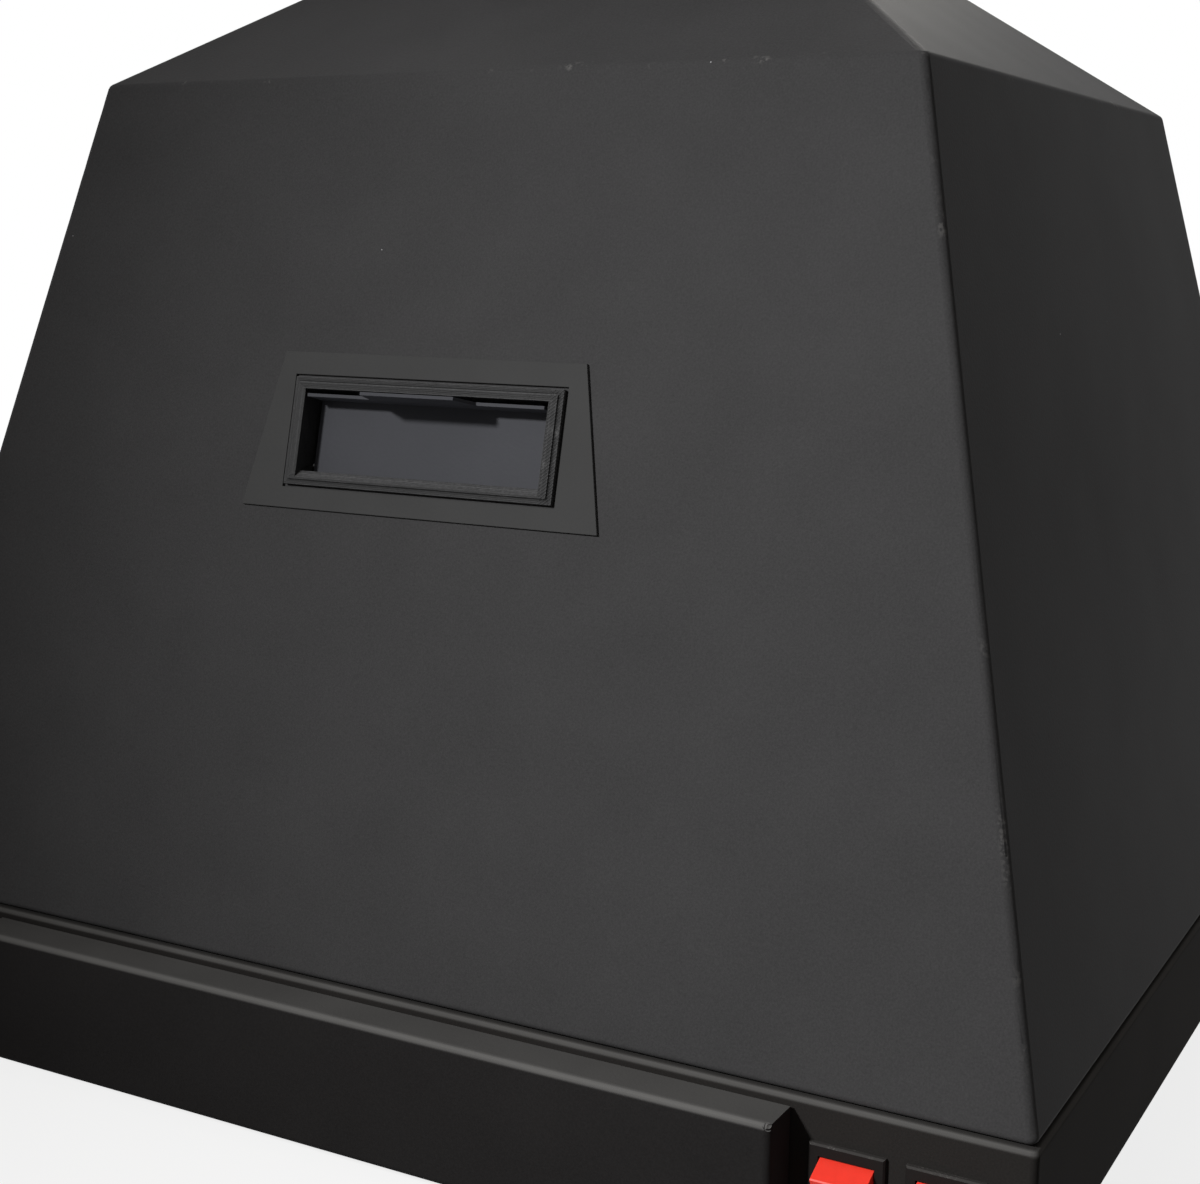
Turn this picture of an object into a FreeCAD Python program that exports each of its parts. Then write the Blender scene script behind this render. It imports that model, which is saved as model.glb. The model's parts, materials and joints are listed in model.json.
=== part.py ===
import FreeCAD, Part
import math
import os

from FreeCAD import Placement, Rotation, Vector

# Imager for thin-layer plates: a dark hood on a flat base, with a sample drawer.
# Millimetres. +Z up, +X to the right, the operator stands on the -Y side.
# The model is built about the centre of the base and moved in Y when it is written.

# Sheet metal
SHEET = 1.5
BEND = 2.5
FLANGE = 12.0

# Clearances
SLIP = 0.3
SEAT = 0.02
RUNNING = 0.05

# Screws: shank radii, heads as shares of them, sides and lengths
M3 = 1.5
M4 = 2.0
HEAD_WIDE = 1.9
HEAD_RISE = 1.1
SCREW_SIDES = 12
FOOT_SCREW = 8.0
HOOD_SCREW = 7.0
TURRET_SCREW = 6.0
FAN_SCREW = 8.0
INLET_SCREW = 6.0

# Base
BASE_WIDTH = 500.0
BASE_DEPTH = 480.0
BASE_HEIGHT = 47.0
BENCH_GAP = 14.0
STAGE_WINDOW = 300.0
TRAY_CLEAR = 5.0
HOOD_SCREW_SHARES = (0.3, 0.8)
FLOOR_VENTS = 6
FLOOR_VENT_PITCH = 14.0
FLOOR_VENT_WIDTH = 5.0
FLOOR_VENT_LENGTH = 36.0
REAR_VENTS = 8
REAR_VENT_PITCH = 20.0
REAR_VENT_WIDTH = 3.0
REAR_VENT_LENGTH = 24.0

# Feet
FOOT_INSET_SIDE = 37.0
FOOT_INSET_DEEP = 40.0
FOOT_RADIUS = 15.0
FOOT_TREAD = 11.5
FOOT_HOLLOW = 6.0
FOOT_SEAT = 4.0

# Hood and roof
GASKET = 0.8
GASKET_INSET = 4.0
HOOD_REVEAL = 0.5
HOOD_HEIGHT = 325.3
HOOD_BEND = 3.0
CREASE_BEND = 3.0
SHOULDER_INSET_SIDE = 75.5
SHOULDER_INSET_FRONT = 78.0
SHOULDER_INSET_BACK = 69.0
ROOF_SLOPE = math.radians(33.7)
ROOF_RUN = 100.0
WELD_DROP = 6.0

# Drawer
DRAWER_INSET = 79.0
DRAWER_FRONT_HEIGHT = 52.0
DRAWER_PROUD = 17.3
DRAWER_DROP = 8.1
DRAWER_RETURN = 8.0
SEAL_THICK = 1.2
SEAL_GAP = 0.3
TRAY_INSET = 22.0
TRAY_DEPTH = 380.0
TRAY_FLOOR = 24.0
TRAY_HEIGHT = 22.0
STAGE_SIZE = 230.0
STAGE_THICK = 3.0
PLATE_SIZE = 201.0
PLATE_POCKET = 1.0
POST_HEIGHT = 10.5
POST_RADIUS = 4.0
POST_INSET = 12.0
LIFT_RADIUS = 11.0
RELIEF_RADIUS = 1.8
STUD_INSET = 20.0
STUD_LENGTH = 4.0
NUT_RADIUS = 3.2
NUT_THICK = 2.4

# Telescopic slides
SLIDE_THICK = 13.0
SLIDE_HEIGHT = 27.0
SLIDE_SHEET = 1.2
SLIDE_START = 3.0
SLIDE_OVERLAP = 20.0
DRAWER_TRAVEL = 340.0
BALL_GAP = 2.3
INNER_GAP = 3.0
RACE_LIP = 2.4
OUTER_REACH = 8.9
MIDDLE_REACH = 10.3
MIDDLE_BACK = 3.2
INNER_BACK = 5.6
BRACKET_GAP = 1.5

# Rocker switches
ROCKER_BEZEL_WIDTH = 25.5
ROCKER_BEZEL_HEIGHT = 31.0
ROCKER_BEZEL_THICK = 2.0
ROCKER_CASE_WIDTH = 21.8
ROCKER_CASE_HEIGHT = 28.3
ROCKER_CASE_DEPTH = 18.0
ROCKER_WIDTH = 18.1
ROCKER_HEIGHT = 22.4
ROCKER_SIDE_GAP = 0.4
ROCKER_END_GAP = 0.3
ROCKER_TILT = math.radians(13.0)
RIDGE_PROUD = 7.5
RIDGE_INSET = 1.7
RIDGE_BLUNT = 0.4
ROCKER_VALLEY = 2.2
BEZEL_CHAMFER = 0.6
TERMINAL_PITCH = 8.0
TERMINAL_LENGTH = 9.0
ROCKER_TOP_DROP = 13.3
ROCKER_INSET = 27.55
ROCKER_PITCH = 32.1
ROCKER_PIVOT_DEPTH = 2.0
TRUNNION_RADIUS = 1.5

# Viewing window, measured up the front face from its foot
WINDOW_FOOT = 183.4
WINDOW_WIDTH = 105.0
WINDOW_HEIGHT = 31.6
FRAME_BORDER_SIDE = 5.5
FRAME_BORDER_END = 4.5
FRAME_RIM = 2.2
FRAME_RIDGE = 0.8
FRAME_RIDGE_INSET = 2.0
FRAME_WALL = 3.5
FRAME_LEDGE = 1.8
FRAME_SILL = 1.0
FRAME_GAP = 1.0
SURROUND_FOOT = 170.0
SURROUND_HEIGHT = 59.0
SURROUND_WIDTH_FOOT = 154.0
SURROUND_WIDTH_HEAD = 130.0
SURROUND_THICK = 1.2
PANE_THICK = 3.0
PANE_LAND = 1.3
PANE_SLIP = 0.2
RETAINER_EDGE = 4.0
RETAINER_THICK = 1.5

# Flap behind the frame
FLAP_RECESS = 9.5
FLAP_THICK = 1.2
FLAP_GAP = 1.8
FLAP_SIDE_GAP = 1.3
FLAP_FOOT_GAP = 0.8
FLAP_SWING_GAP = 1.5
FLAP_TAB_WIDTH = 46.0
FLAP_TAB_TAPER = 3.0
FLAP_TAB_REACH = 10.5
FLAP_KNUCKLE = 6.0
FLAP_KNUCKLE_RADIUS = 1.8
FLAP_PIN_RADIUS = 1.0
FLAP_PIVOT_RISE = 3.8
FLAP_PIVOT_BACK = 1.3

# Camera turret
TURRET_INSET = 2.0
TURRET_HEIGHT = 105.0
TURRET_FLANGE = 10.0
LID_SKIRT = 12.0
CAMERA_PLATE = 2.0
TURRET_VENTS = 5
TURRET_VENT_PITCH = 8.0
TURRET_VENT_WIDTH = 3.0
TURRET_VENT_LENGTH = 44.0
TURRET_SCREW_INSET = 8.0
LID_SCREW_INSET = 25.0

# Camera and zoom lens
LENS_HOLE_GAP = 6.0
LENS_RADIUS = 20.0
LENS_BORE = 15.0
LENS_RECESS = 8.0
LENS_DROP = 22.0
LENS_NOSE = 9.0
LENS_COLLAR = 2.0
LENS_TAIL = 2.0
LENS_MOUNT = 6.0
MOUNT_RADIUS = 12.7
GLASS_THICK = 3.0
FILTER_HEIGHT = 6.0
FILTER_THICK = 2.0
RING_WALL = 4.0
RING_GAP = 1.0
FOCUS_RING = 16.0
ZOOM_RING = 13.0
IRIS_RING = 9.0
RING_GROOVES = 18
CAMERA_SIDE = 44.0
CAMERA_LENGTH = 45.0
CAMERA_FINS = 4
FIN_PITCH = 6.0
FIN_DEPTH = 1.5
BRACKET_THICK = 3.0
BRACKET_FOOT_SHARE = 0.54

# Lamps
TUBE_RADIUS = 8.0
TUBE_INSET = 21.0
TUBE_PITCH = 24.0
TUBE_LIFT = 3.0
TUBE_CAP = 8.0
PIN_SPREAD = 2.5
PIN_RADIUS = 1.2
PIN_LENGTH = 6.0
SOCKET_WIDTH = 18.0
SOCKET_LENGTH = 12.0
REFLECTOR_LIFT = 1.2
REFLECTOR_RIDGE = 6.0
REFLECTOR_EDGE = 9.0
TROUGH_WIDTH = 66.0
TROUGH_DEPTH = 20.0
TROUGH_END_GAP = 1.5
TROUGH_INSET = 20.5
TROUGH_DROP = 65.1
TROUGH_TILT = math.radians(32.0)
LAMP_SHEET = 1.0
EAR_HEIGHT = 26.0
EAR_LENGTH = 30.0
EAR_INSET = 20.0
LED_COUNT = 9
LED_INSET = 30.0
LED_BOARD = 1.6
LED_BAR_EDGE = 2.0
LED_BAR_WIDTH = 12.0
LED_BAR_INSET = 10.0
LED_SIZE = 4.0

# Back panel
INLET_INSET = 50.0
INLET_WIDTH = 50.0
INLET_HEIGHT = 32.0
INLET_BODY_WIDTH = 28.0
INLET_DEPTH = 28.0
INLET_EAR = 20.0
INLET_FLANGE = 1.8
MOUTH_WIDTH = 24.0
MOUTH_DEPTH = 14.0
MOUTH_LOW = -4.0
MOUTH_HIGH = 12.0
FUSE_WIDTH = 22.0
FUSE_DEPTH = 22.0
FUSE_LOW = -12.5
FUSE_HIGH = -6.0
FUSE_WALL = 1.2
PORT_FROM_INLET = 50.0
PORT_WIDTH = 12.0
PORT_HEIGHT = 11.0
PORT_RIM = 3.0
PORT_FLANGE = 1.5
PORT_DEPTH = 16.0
FAN_INSET = 45.0
FAN_SIDE = 40.0
FAN_DEPTH = 20.0
FAN_WALL = 1.2
FAN_SCREW_INSET = 4.0
FAN_BLADES = 7
BLADE_GAP = 1.0
BLADE_THICK = 0.9
BLADE_ROOT = (3.2, math.radians(50.0))
BLADE_TIP = (5.2, math.radians(32.0))
HUB_RADIUS = 8.0
HUB_DEPTH = 13.0
HUB_SINK = 3.0
MOTOR_PLATE = 3.0
GUARD_WIRE = 1.4
GUARD_RINGS = 3

# Electronics bays
SUPPLY_SIZE = (56.0, 120.0, 30.0)
BALLAST_SIZE = (26.0, 150.0, 24.0)
BOARD_SIZE = (54.0, 130.0, 1.6)
SUPPLY_FROM_BACK = 50.0
BOARD_FROM_FRONT = 80.0
BALLAST_FROM_FRONT = 135.0
BALLAST_PITCH = 32.0
RELAY_SIZE = (18.0, 14.0, 14.0)
CONNECTOR_SIZE = (10.0, 50.0, 10.0)
CHIP_SIZE = (14.0, 14.0, 2.0)
CAN_RADIUS = 6.0
CAN_HEIGHT = 16.0
PILLAR_HEIGHT = 6.0
PILLAR_INSET = 5.0
BAY_VENT_GAP = 10.0

# Heights and depths that follow
BASE_BOTTOM = BENCH_GAP
BASE_TOP = BASE_BOTTOM + BASE_HEIGHT
FLOOR_TOP = BASE_BOTTOM + 2 * SHEET
HOOD_FOOT = BASE_TOP + GASKET
CREASE = HOOD_FOOT + HOOD_HEIGHT
ROOF_TOP = CREASE + ROOF_RUN * math.tan(ROOF_SLOPE)
TURRET_TOP = ROOF_TOP + TURRET_HEIGHT
BASE_FRONT = -BASE_DEPTH / 2
BASE_BACK = BASE_DEPTH / 2
BASE_SIDE = BASE_WIDTH / 2
FOOT_FRONT = BASE_FRONT + HOOD_REVEAL
FOOT_BACK = BASE_BACK - HOOD_REVEAL
FOOT_SIDE = BASE_SIDE - HOOD_REVEAL
SHOULDER_SIDE = BASE_SIDE - SHOULDER_INSET_SIDE
SHOULDER_FRONT = BASE_FRONT + SHOULDER_INSET_FRONT
SHOULDER_BACK = BASE_BACK - SHOULDER_INSET_BACK
VIEW_Y = (SHOULDER_FRONT + SHOULDER_BACK) / 2
LEAN_SIDE = math.atan2(FOOT_SIDE - SHOULDER_SIDE, HOOD_HEIGHT)
LEAN_FRONT = math.atan2(SHOULDER_FRONT - FOOT_FRONT, HOOD_HEIGHT)
LEAN_BACK = math.atan2(FOOT_BACK - SHOULDER_BACK, HOOD_HEIGHT)
DRAWER_FACE = BASE_FRONT - DRAWER_PROUD
DRAWER_SIDE = BASE_SIDE - DRAWER_INSET
DRAWER_LOW = BASE_BOTTOM - DRAWER_DROP
DRAWER_HIGH = DRAWER_LOW + DRAWER_FRONT_HEIGHT
TRAY_SIDE = DRAWER_SIDE - TRAY_INSET
SLIDE_WALL = TRAY_SIDE + SLIDE_THICK
SLIDE_Z = TRAY_FLOOR + TRAY_HEIGHT / 2
SLIDE_LENGTH = DRAWER_TRAVEL + SLIDE_OVERLAP
BAY_X = (SLIDE_WALL + FLANGE + BASE_SIDE) / 2
INLET_X = INLET_INSET - BASE_SIDE
PORT_X = INLET_X + PORT_FROM_INLET
FAN_X = BASE_SIDE - FAN_INSET
SUPPLY_Y = BASE_BACK - SUPPLY_FROM_BACK - SUPPLY_SIZE[1] / 2
BOARD_Y = BASE_FRONT + BOARD_FROM_FRONT + BOARD_SIZE[1] / 2
BALLAST_Y = BASE_FRONT + BALLAST_FROM_FRONT + BALLAST_SIZE[1] / 2
ROCKER_Z = BASE_TOP - ROCKER_TOP_DROP - ROCKER_BEZEL_HEIGHT / 2
REAR_Z = (FLOOR_TOP + BASE_TOP - SHEET) / 2
REAR_PROUD = INLET_FLANGE + HEAD_RISE * M3
TROUGH_X = SHOULDER_SIDE - TROUGH_INSET
TROUGH_Z = CREASE - TROUGH_DROP
TROUGH_LENGTH = SHOULDER_BACK - SHOULDER_FRONT - 2 * TROUGH_END_GAP
TUBE_LENGTH = TROUGH_LENGTH - 2 * TUBE_INSET
TUBE_OUT = TUBE_RADIUS + TUBE_LIFT
RINGS = (FOCUS_RING, ZOOM_RING, IRIS_RING)
RING_STACK = sum(RINGS) + 2 * len(RINGS) * RING_GAP + (len(RINGS) - 1) * LENS_COLLAR
LENS_LENGTH = LENS_NOSE + RING_STACK + LENS_TAIL + LENS_MOUNT
LENS_LOW = ROOF_TOP - LENS_DROP
LENS_HIGH = LENS_LOW + LENS_LENGTH
Y_SHIFT = (DRAWER_PROUD - REAR_PROUD) / 2

FACE_TURN = Rotation(Vector(1, 0, 0), 90 - math.degrees(LEAN_FRONT))
FRONT_FACE = Placement(Vector(0, FOOT_FRONT, HOOD_FOOT), FACE_TURN)
UP = Vector(0, 0, 1)


# Plain helpers
def box(x0, x1, y0, y1, z0, z1):
    return Part.makeBox(x1 - x0, y1 - y0, z1 - z0, Vector(x0, y0, z0))


def rod(radius, start, end):
    way = end - start
    return Part.makeCylinder(radius, way.Length, start, way)


def drill_down(spots, radius, low, high):
    """Upright holes at (x, y) spots."""
    return Part.makeCompound([rod(radius, Vector(x, y, low), Vector(x, y, high)) for x, y in spots])


def drill_back(spots, radius, near, far):
    """Holes from front to back at (x, z) spots."""
    return Part.makeCompound([rod(radius, Vector(x, near, z), Vector(x, far, z)) for x, z in spots])


def fuse(shapes):
    whole = shapes[0]
    for shape in shapes[1:]:
        whole = whole.fuse(shape)
    return whole.removeSplitter()


def both_sides(shape):
    """The shape and its mirror image on the other side of the middle."""
    return Part.makeCompound([shape, shape.mirror(Vector(0, 0, 0), Vector(1, 0, 0))])


def round_outline(x0, x1, y0, y1, radius, z):
    """A closed wire: a rectangle with round corners, lying at height z."""
    corners = [(x1 - radius, y1 - radius), (x0 + radius, y1 - radius)]
    corners += [(x0 + radius, y0 + radius), (x1 - radius, y0 + radius)]
    arcs = []
    for turn, (x, y) in enumerate(corners):
        arcs.append(Part.makeCircle(radius, Vector(x, y, z), UP, turn * 90, turn * 90 + 90))
    edges = []
    for arc, after in zip(arcs, arcs[1:] + arcs[:1]):
        edges.append(arc)
        edges.append(Part.makeLine(arc.Vertexes[-1].Point, after.Vertexes[0].Point))
    return Part.Wire(edges)


def round_block(x0, x1, y0, y1, z0, z1, radius):
    outline = round_outline(x0, x1, y0, y1, radius, z0)
    return Part.Face(outline).extrude(Vector(0, 0, z1 - z0))


def edges_at_height(shape, z):
    return [e for e in shape.Edges if abs(e.BoundBox.ZMin - z) < 0.01 and abs(e.BoundBox.ZMax - z) < 0.01]


def tapered(low, high):
    """Solid between two round outlines: flat walls, and a ruled bend at each corner."""
    faces = [Part.Face(low), Part.Face(high)]
    for below, above in zip(low.Edges, high.Edges):
        if isinstance(below.Curve, Part.Circle):
            faces.append(Part.makeRuledSurface(below, above))
            continue
        ends = [below.Vertexes[0].Point, below.Vertexes[-1].Point]
        ends += [above.Vertexes[-1].Point, above.Vertexes[0].Point]
        faces.append(Part.Face(Part.makePolygon(ends + ends[:1])))
    shell = Part.makeShell(faces)
    shell.sewShape()
    return Part.makeSolid(shell)


def prism(points, way):
    """A solid swept straight from a closed outline of points."""
    return Part.Face(Part.makePolygon(points + points[:1])).extrude(way)


def folded_strip(path, thick, y0, y1):
    """Sheet folded along a path of (x, z) points, running from y0 to y1."""
    pieces = []
    for (xa, za), (xb, zb) in zip(path, path[1:]):
        along = Vector(xb - xa, 0, zb - za).normalize()
        side = Vector(-along.z, 0, along.x) * (thick / 2)
        start = Vector(xa, y0, za)
        end = Vector(xb, y0, zb)
        pieces.append(prism([start - side, end - side, end + side, start + side], Vector(0, y1 - y0, 0)))
    for x, z in path[1:-1]:
        pieces.append(rod(thick / 2, Vector(x, y0, z), Vector(x, y1, z)))
    return fuse(pieces)


def many_sided(radius, length):
    """An upright prism on a regular outline, in place of a small rod."""
    turns = [2 * math.pi * step / SCREW_SIDES for step in range(SCREW_SIDES)]
    outline = [Vector(radius * math.cos(turn), radius * math.sin(turn), 0) for turn in turns]
    return prism(outline, Vector(0, 0, length))


def pan_screw(radius, length, point, way):
    """Pan-head screw: the head lies at the point, the shank runs along way."""
    head = many_sided(radius * HEAD_WIDE, radius * HEAD_RISE)
    screw = fuse([head.translated(Vector(0, 0, -radius * HEAD_RISE)), many_sided(radius, length)])
    screw.Placement = Placement(point, Rotation(UP, Vector(way)))
    return screw


# Base
def drawer_slot():
    low = TRAY_FLOOR - TRAY_CLEAR
    high = TRAY_FLOOR + TRAY_HEIGHT + TRAY_CLEAR
    side = SLIDE_WALL + SHEET
    return box(-side, side, BASE_FRONT - 5, BASE_FRONT + 10, low, high)


def rocker_xs():
    return [BASE_SIDE - ROCKER_INSET - ROCKER_PITCH, BASE_SIDE - ROCKER_INSET]


def hood_screw_spots():
    x = FOOT_SIDE - FLANGE
    y = FOOT_BACK - FLANGE
    return [(sx * x, sy * y * share) for sx in (-1, 1) for sy in (-1, 1) for share in HOOD_SCREW_SHARES]


def bottom_screw_spots():
    x = BASE_SIDE - SHEET - FLANGE / 2
    y = BASE_BACK - SHEET - FLANGE / 2
    return [(sx * x, sy * y * 0.6) for sx in (-1, 1) for sy in (-1, 1)]


def base_shell():
    outer = round_block(-BASE_SIDE, BASE_SIDE, BASE_FRONT, BASE_BACK, BASE_BOTTOM, BASE_TOP, BEND)
    outer = outer.makeFillet(BEND - 0.1, edges_at_height(outer, BASE_TOP))
    side = BASE_SIDE - SHEET
    deep = BASE_BACK - SHEET
    hollow = round_block(-side, side, -deep, deep, FLOOR_TOP - SHEET, BASE_TOP - SHEET, BEND - SHEET)
    half = STAGE_WINDOW / 2
    cuts = [box(-half, half, VIEW_Y - half, VIEW_Y + half, BASE_TOP - 5, BASE_TOP + 5)]
    cuts.append(box(-side + FLANGE, side - FLANGE, -deep + FLANGE, deep - FLANGE, BASE_BOTTOM - 5, FLOOR_TOP))
    cuts.append(drawer_slot())
    for x in rocker_xs():
        wide = ROCKER_CASE_WIDTH / 2 + SLIP
        tall = ROCKER_CASE_HEIGHT / 2 + SLIP
        cuts.append(box(x - wide, x + wide, BASE_FRONT - 5, BASE_FRONT + 5, ROCKER_Z - tall, ROCKER_Z + tall))
    wide = INLET_BODY_WIDTH / 2 + SLIP
    cuts.append(inlet_block(wide, BASE_BACK - 5, BASE_BACK + 5, -wide, wide))
    cuts.append(port_block(SLIP, BASE_BACK - 5, BASE_BACK + 5))
    outlet = FAN_SIDE / 2 - FAN_WALL - SLIP
    cuts.append(rod(outlet, Vector(FAN_X, BASE_BACK - 5, REAR_Z), Vector(FAN_X, BASE_BACK + 5, REAR_Z)))
    wide = REAR_VENT_WIDTH / 2
    tall = REAR_VENT_LENGTH / 2
    for step in range(REAR_VENTS):
        x = (step - (REAR_VENTS - 1) / 2) * REAR_VENT_PITCH
        cuts.append(box(x - wide, x + wide, BASE_BACK - 5, BASE_BACK + 5, REAR_Z - tall, REAR_Z + tall))
    cuts.append(drill_down(hood_screw_spots(), M4 + SLIP, BASE_TOP - 5, BASE_TOP + 5))
    cuts.append(drill_down(bottom_screw_spots(), M4 + SLIP, BASE_BOTTOM - 5, FLOOR_TOP))
    cuts.append(drill_back(fan_screw_spots() + inlet_screw_spots(), M3 + SLIP, BASE_BACK - 5, BASE_BACK + 5))
    return outer.cut(hollow).cut(Part.makeCompound(cuts))


def foot_spots():
    x = BASE_SIDE - FOOT_INSET_SIDE
    y = BASE_BACK - FOOT_INSET_DEEP
    return [(-x, -y), (x, -y), (x, y), (-x, y)]


def bottom_plate():
    side = BASE_SIDE - SHEET - SLIP
    deep = BASE_BACK - SHEET - SLIP
    plate = box(-side, side, -deep, deep, FLOOR_TOP - SHEET, FLOOR_TOP)
    cuts = [drill_down(foot_spots() + bottom_screw_spots(), M4 + SEAT, 0, FLOOR_TOP + 5)]
    board_end = BOARD_Y + BOARD_SIZE[1] / 2
    ballast_end = BALLAST_Y + BALLAST_SIZE[1] / 2
    wide = FLOOR_VENT_LENGTH / 2
    for x, end in ((-BAY_X, board_end), (BAY_X, ballast_end)):
        for step in range(FLOOR_VENTS):
            y = end + BAY_VENT_GAP + step * FLOOR_VENT_PITCH
            cuts.append(box(x - wide, x + wide, y, y + FLOOR_VENT_WIDTH, 0, FLOOR_TOP + 5))
    return plate.cut(Part.makeCompound(cuts))


def rubber_feet():
    tall = FLOOR_TOP - SHEET
    bore = M4 + SEAT
    profile = [Vector(bore, 0, tall), Vector(FOOT_RADIUS, 0, tall), Vector(FOOT_TREAD, 0, 0)]
    profile += [Vector(FOOT_HOLLOW, 0, 0), Vector(FOOT_HOLLOW - 0.6, 0, tall - FOOT_SEAT)]
    profile.append(Vector(bore, 0, tall - FOOT_SEAT))
    foot = Part.Face(Part.makePolygon(profile + profile[:1])).revolve(Vector(0, 0, 0), UP, 360)
    return Part.makeCompound([foot.translated(Vector(x, y, 0)) for x, y in foot_spots()])


def underside_screws():
    seat = FLOOR_TOP - SHEET - FOOT_SEAT
    screws = [pan_screw(M4, FOOT_SCREW, Vector(x, y, seat), UP) for x, y in foot_spots()]
    screws += [pan_screw(M4, FOOT_SCREW, Vector(x, y, BASE_BOTTOM), UP) for x, y in bottom_screw_spots()]
    return Part.makeCompound(screws)


# Hood
def section(z, depth, radius):
    """Outline of the hood at height z, set in by depth square to the sheet."""
    if z <= CREASE:
        fall = CREASE - z
        side = SHOULDER_SIDE + fall * math.tan(LEAN_SIDE) - depth / math.cos(LEAN_SIDE)
        front = SHOULDER_FRONT - fall * math.tan(LEAN_FRONT) + depth / math.cos(LEAN_FRONT)
        back = SHOULDER_BACK + fall * math.tan(LEAN_BACK) - depth / math.cos(LEAN_BACK)
    else:
        rise = (z - CREASE) / math.tan(ROOF_SLOPE) + depth / math.sin(ROOF_SLOPE)
        side = SHOULDER_SIDE - rise
        front = SHOULDER_FRONT + rise
        back = SHOULDER_BACK - rise
    return round_outline(-side, side, front, back, radius, z)


def rim_extents(inset):
    """Half width, front and back of the roof's flat rim, set in."""
    side = SHOULDER_SIDE - ROOF_RUN - inset
    front = SHOULDER_FRONT + ROOF_RUN + inset
    back = SHOULDER_BACK - ROOF_RUN - inset
    return side, front, back


def folded_hood():
    """Hood and roof in one skin of even thickness, with round bends."""
    walls = tapered(section(HOOD_FOOT, 0, HOOD_BEND), section(CREASE, 0, HOOD_BEND))
    side, front, back = rim_extents(0)
    rim = round_outline(-side, side, front, back, HOOD_BEND, ROOF_TOP)
    slopes = tapered(section(CREASE, 0, HOOD_BEND), rim)
    outer = fuse([walls, slopes])
    outer = outer.makeFillet(CREASE_BEND, edges_at_height(outer, CREASE))
    outer = outer.makeFillet(2.0, edges_at_height(outer, HOOD_FOOT) + edges_at_height(outer, ROOF_TOP))
    sink = SHEET * (math.cos(LEAN_SIDE) - math.sin(ROOF_SLOPE)) / math.cos(LEAN_SIDE + ROOF_SLOPE)
    bend = HOOD_BEND - SHEET
    low = section(HOOD_FOOT + SHEET, SHEET, bend)
    turn = section(CREASE - sink, SHEET, bend)
    high = section(ROOF_TOP - SHEET, SHEET, bend)
    inner = fuse([tapered(low, turn), tapered(turn, high)])
    skin = outer.cut(inner)
    foot_side = FOOT_SIDE - FLANGE * 2
    foot_deep = FOOT_BACK - FLANGE * 2
    skin = skin.cut(box(-foot_side, foot_side, -foot_deep, foot_deep, HOOD_FOOT - 5, HOOD_FOOT + 5))
    side, front, back = rim_extents(TURRET_INSET + SHEET + TURRET_FLANGE)
    return skin.cut(box(-side, side, front, back, ROOF_TOP - 5, ROOF_TOP + 5))


def on_face(shape):
    """Moves a shape from the front face's own frame to its place on the hood."""
    moved = shape.copy()
    moved.Placement = FRONT_FACE.multiply(moved.Placement)
    return moved


def window_edges(grow):
    """Extents of the window opening across and up the face, grown all round."""
    half = WINDOW_WIDTH / 2 + grow
    return -half, half, WINDOW_FOOT - grow, WINDOW_FOOT + WINDOW_HEIGHT + grow


def hood_shell(skin):
    far = BASE_WIDTH
    lower = skin.common(box(-far, far, -far, far, 0, CREASE - WELD_DROP))
    u0, u1, v0, v1 = window_edges(FRAME_WALL + SLIP)
    cuts = [on_face(box(u0, u1, v0, v1, -WINDOW_HEIGHT, WINDOW_HEIGHT))]
    cuts.append(drill_down(hood_screw_spots(), M4 + SEAT, HOOD_FOOT - 5, HOOD_FOOT + SHEET + 0.5))
    return lower.cut(Part.makeCompound(cuts))


def turret_screw_spots():
    side, front, back = rim_extents(TURRET_INSET + SHEET + TURRET_FLANGE / 2)
    ys = (front + TURRET_SCREW_INSET, back - TURRET_SCREW_INSET)
    return [(x, y) for x in (-side, side) for y in ys]


def roof_shell(skin):
    far = BASE_WIDTH
    upper = skin.common(box(-far, far, -far, far, CREASE - WELD_DROP, ROOF_TOP + 10))
    return upper.cut(drill_down(turret_screw_spots(), M3 + SEAT, ROOF_TOP - 5, ROOF_TOP + 5))


def hood_gasket():
    side = FOOT_SIDE - GASKET_INSET
    deep = FOOT_BACK - GASKET_INSET
    outer = round_block(-side, side, -deep, deep, BASE_TOP, HOOD_FOOT, HOOD_BEND)
    side = FOOT_SIDE - FLANGE * 2
    deep = FOOT_BACK - FLANGE * 2
    ring = outer.cut(box(-side, side, -deep, deep, BASE_TOP - 1, HOOD_FOOT + 1))
    return ring.cut(drill_down(hood_screw_spots(), M4 + SLIP, BASE_TOP - 1, HOOD_FOOT + 1))


def hood_screws():
    under = BASE_TOP - SHEET
    spots = [Vector(x, y, under) for x, y in hood_screw_spots()]
    return Part.makeCompound([pan_screw(M4, HOOD_SCREW, spot, UP) for spot in spots])


# Viewing window
def window_surround():
    foot = SURROUND_WIDTH_FOOT / 2
    head = SURROUND_WIDTH_HEAD / 2
    low = SURROUND_FOOT
    high = SURROUND_FOOT + SURROUND_HEIGHT
    corners = [Vector(-foot, low, 0), Vector(foot, low, 0), Vector(head, high, 0), Vector(-head, high, 0)]
    plate = prism(corners, Vector(0, 0, SURROUND_THICK))
    half = WINDOW_WIDTH / 2 + FRAME_BORDER_SIDE + FRAME_GAP
    v0 = WINDOW_FOOT - FRAME_BORDER_END - FRAME_GAP
    v1 = WINDOW_FOOT + WINDOW_HEIGHT + FRAME_BORDER_END + FRAME_GAP
    return on_face(plate.cut(box(-half, half, v0, v1, -1, SURROUND_THICK + 1)))


def flap_faces():
    """Depths of the closed flap's back and front."""
    front = FRAME_RIM + FRAME_RIDGE - FLAP_RECESS
    return front - FLAP_THICK, front


def flap_pivot():
    """Height up the face and depth of the flap's pins, behind its panel."""
    return WINDOW_FOOT + FLAP_PIVOT_RISE, sum(flap_faces()) / 2 - FLAP_PIVOT_BACK


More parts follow.
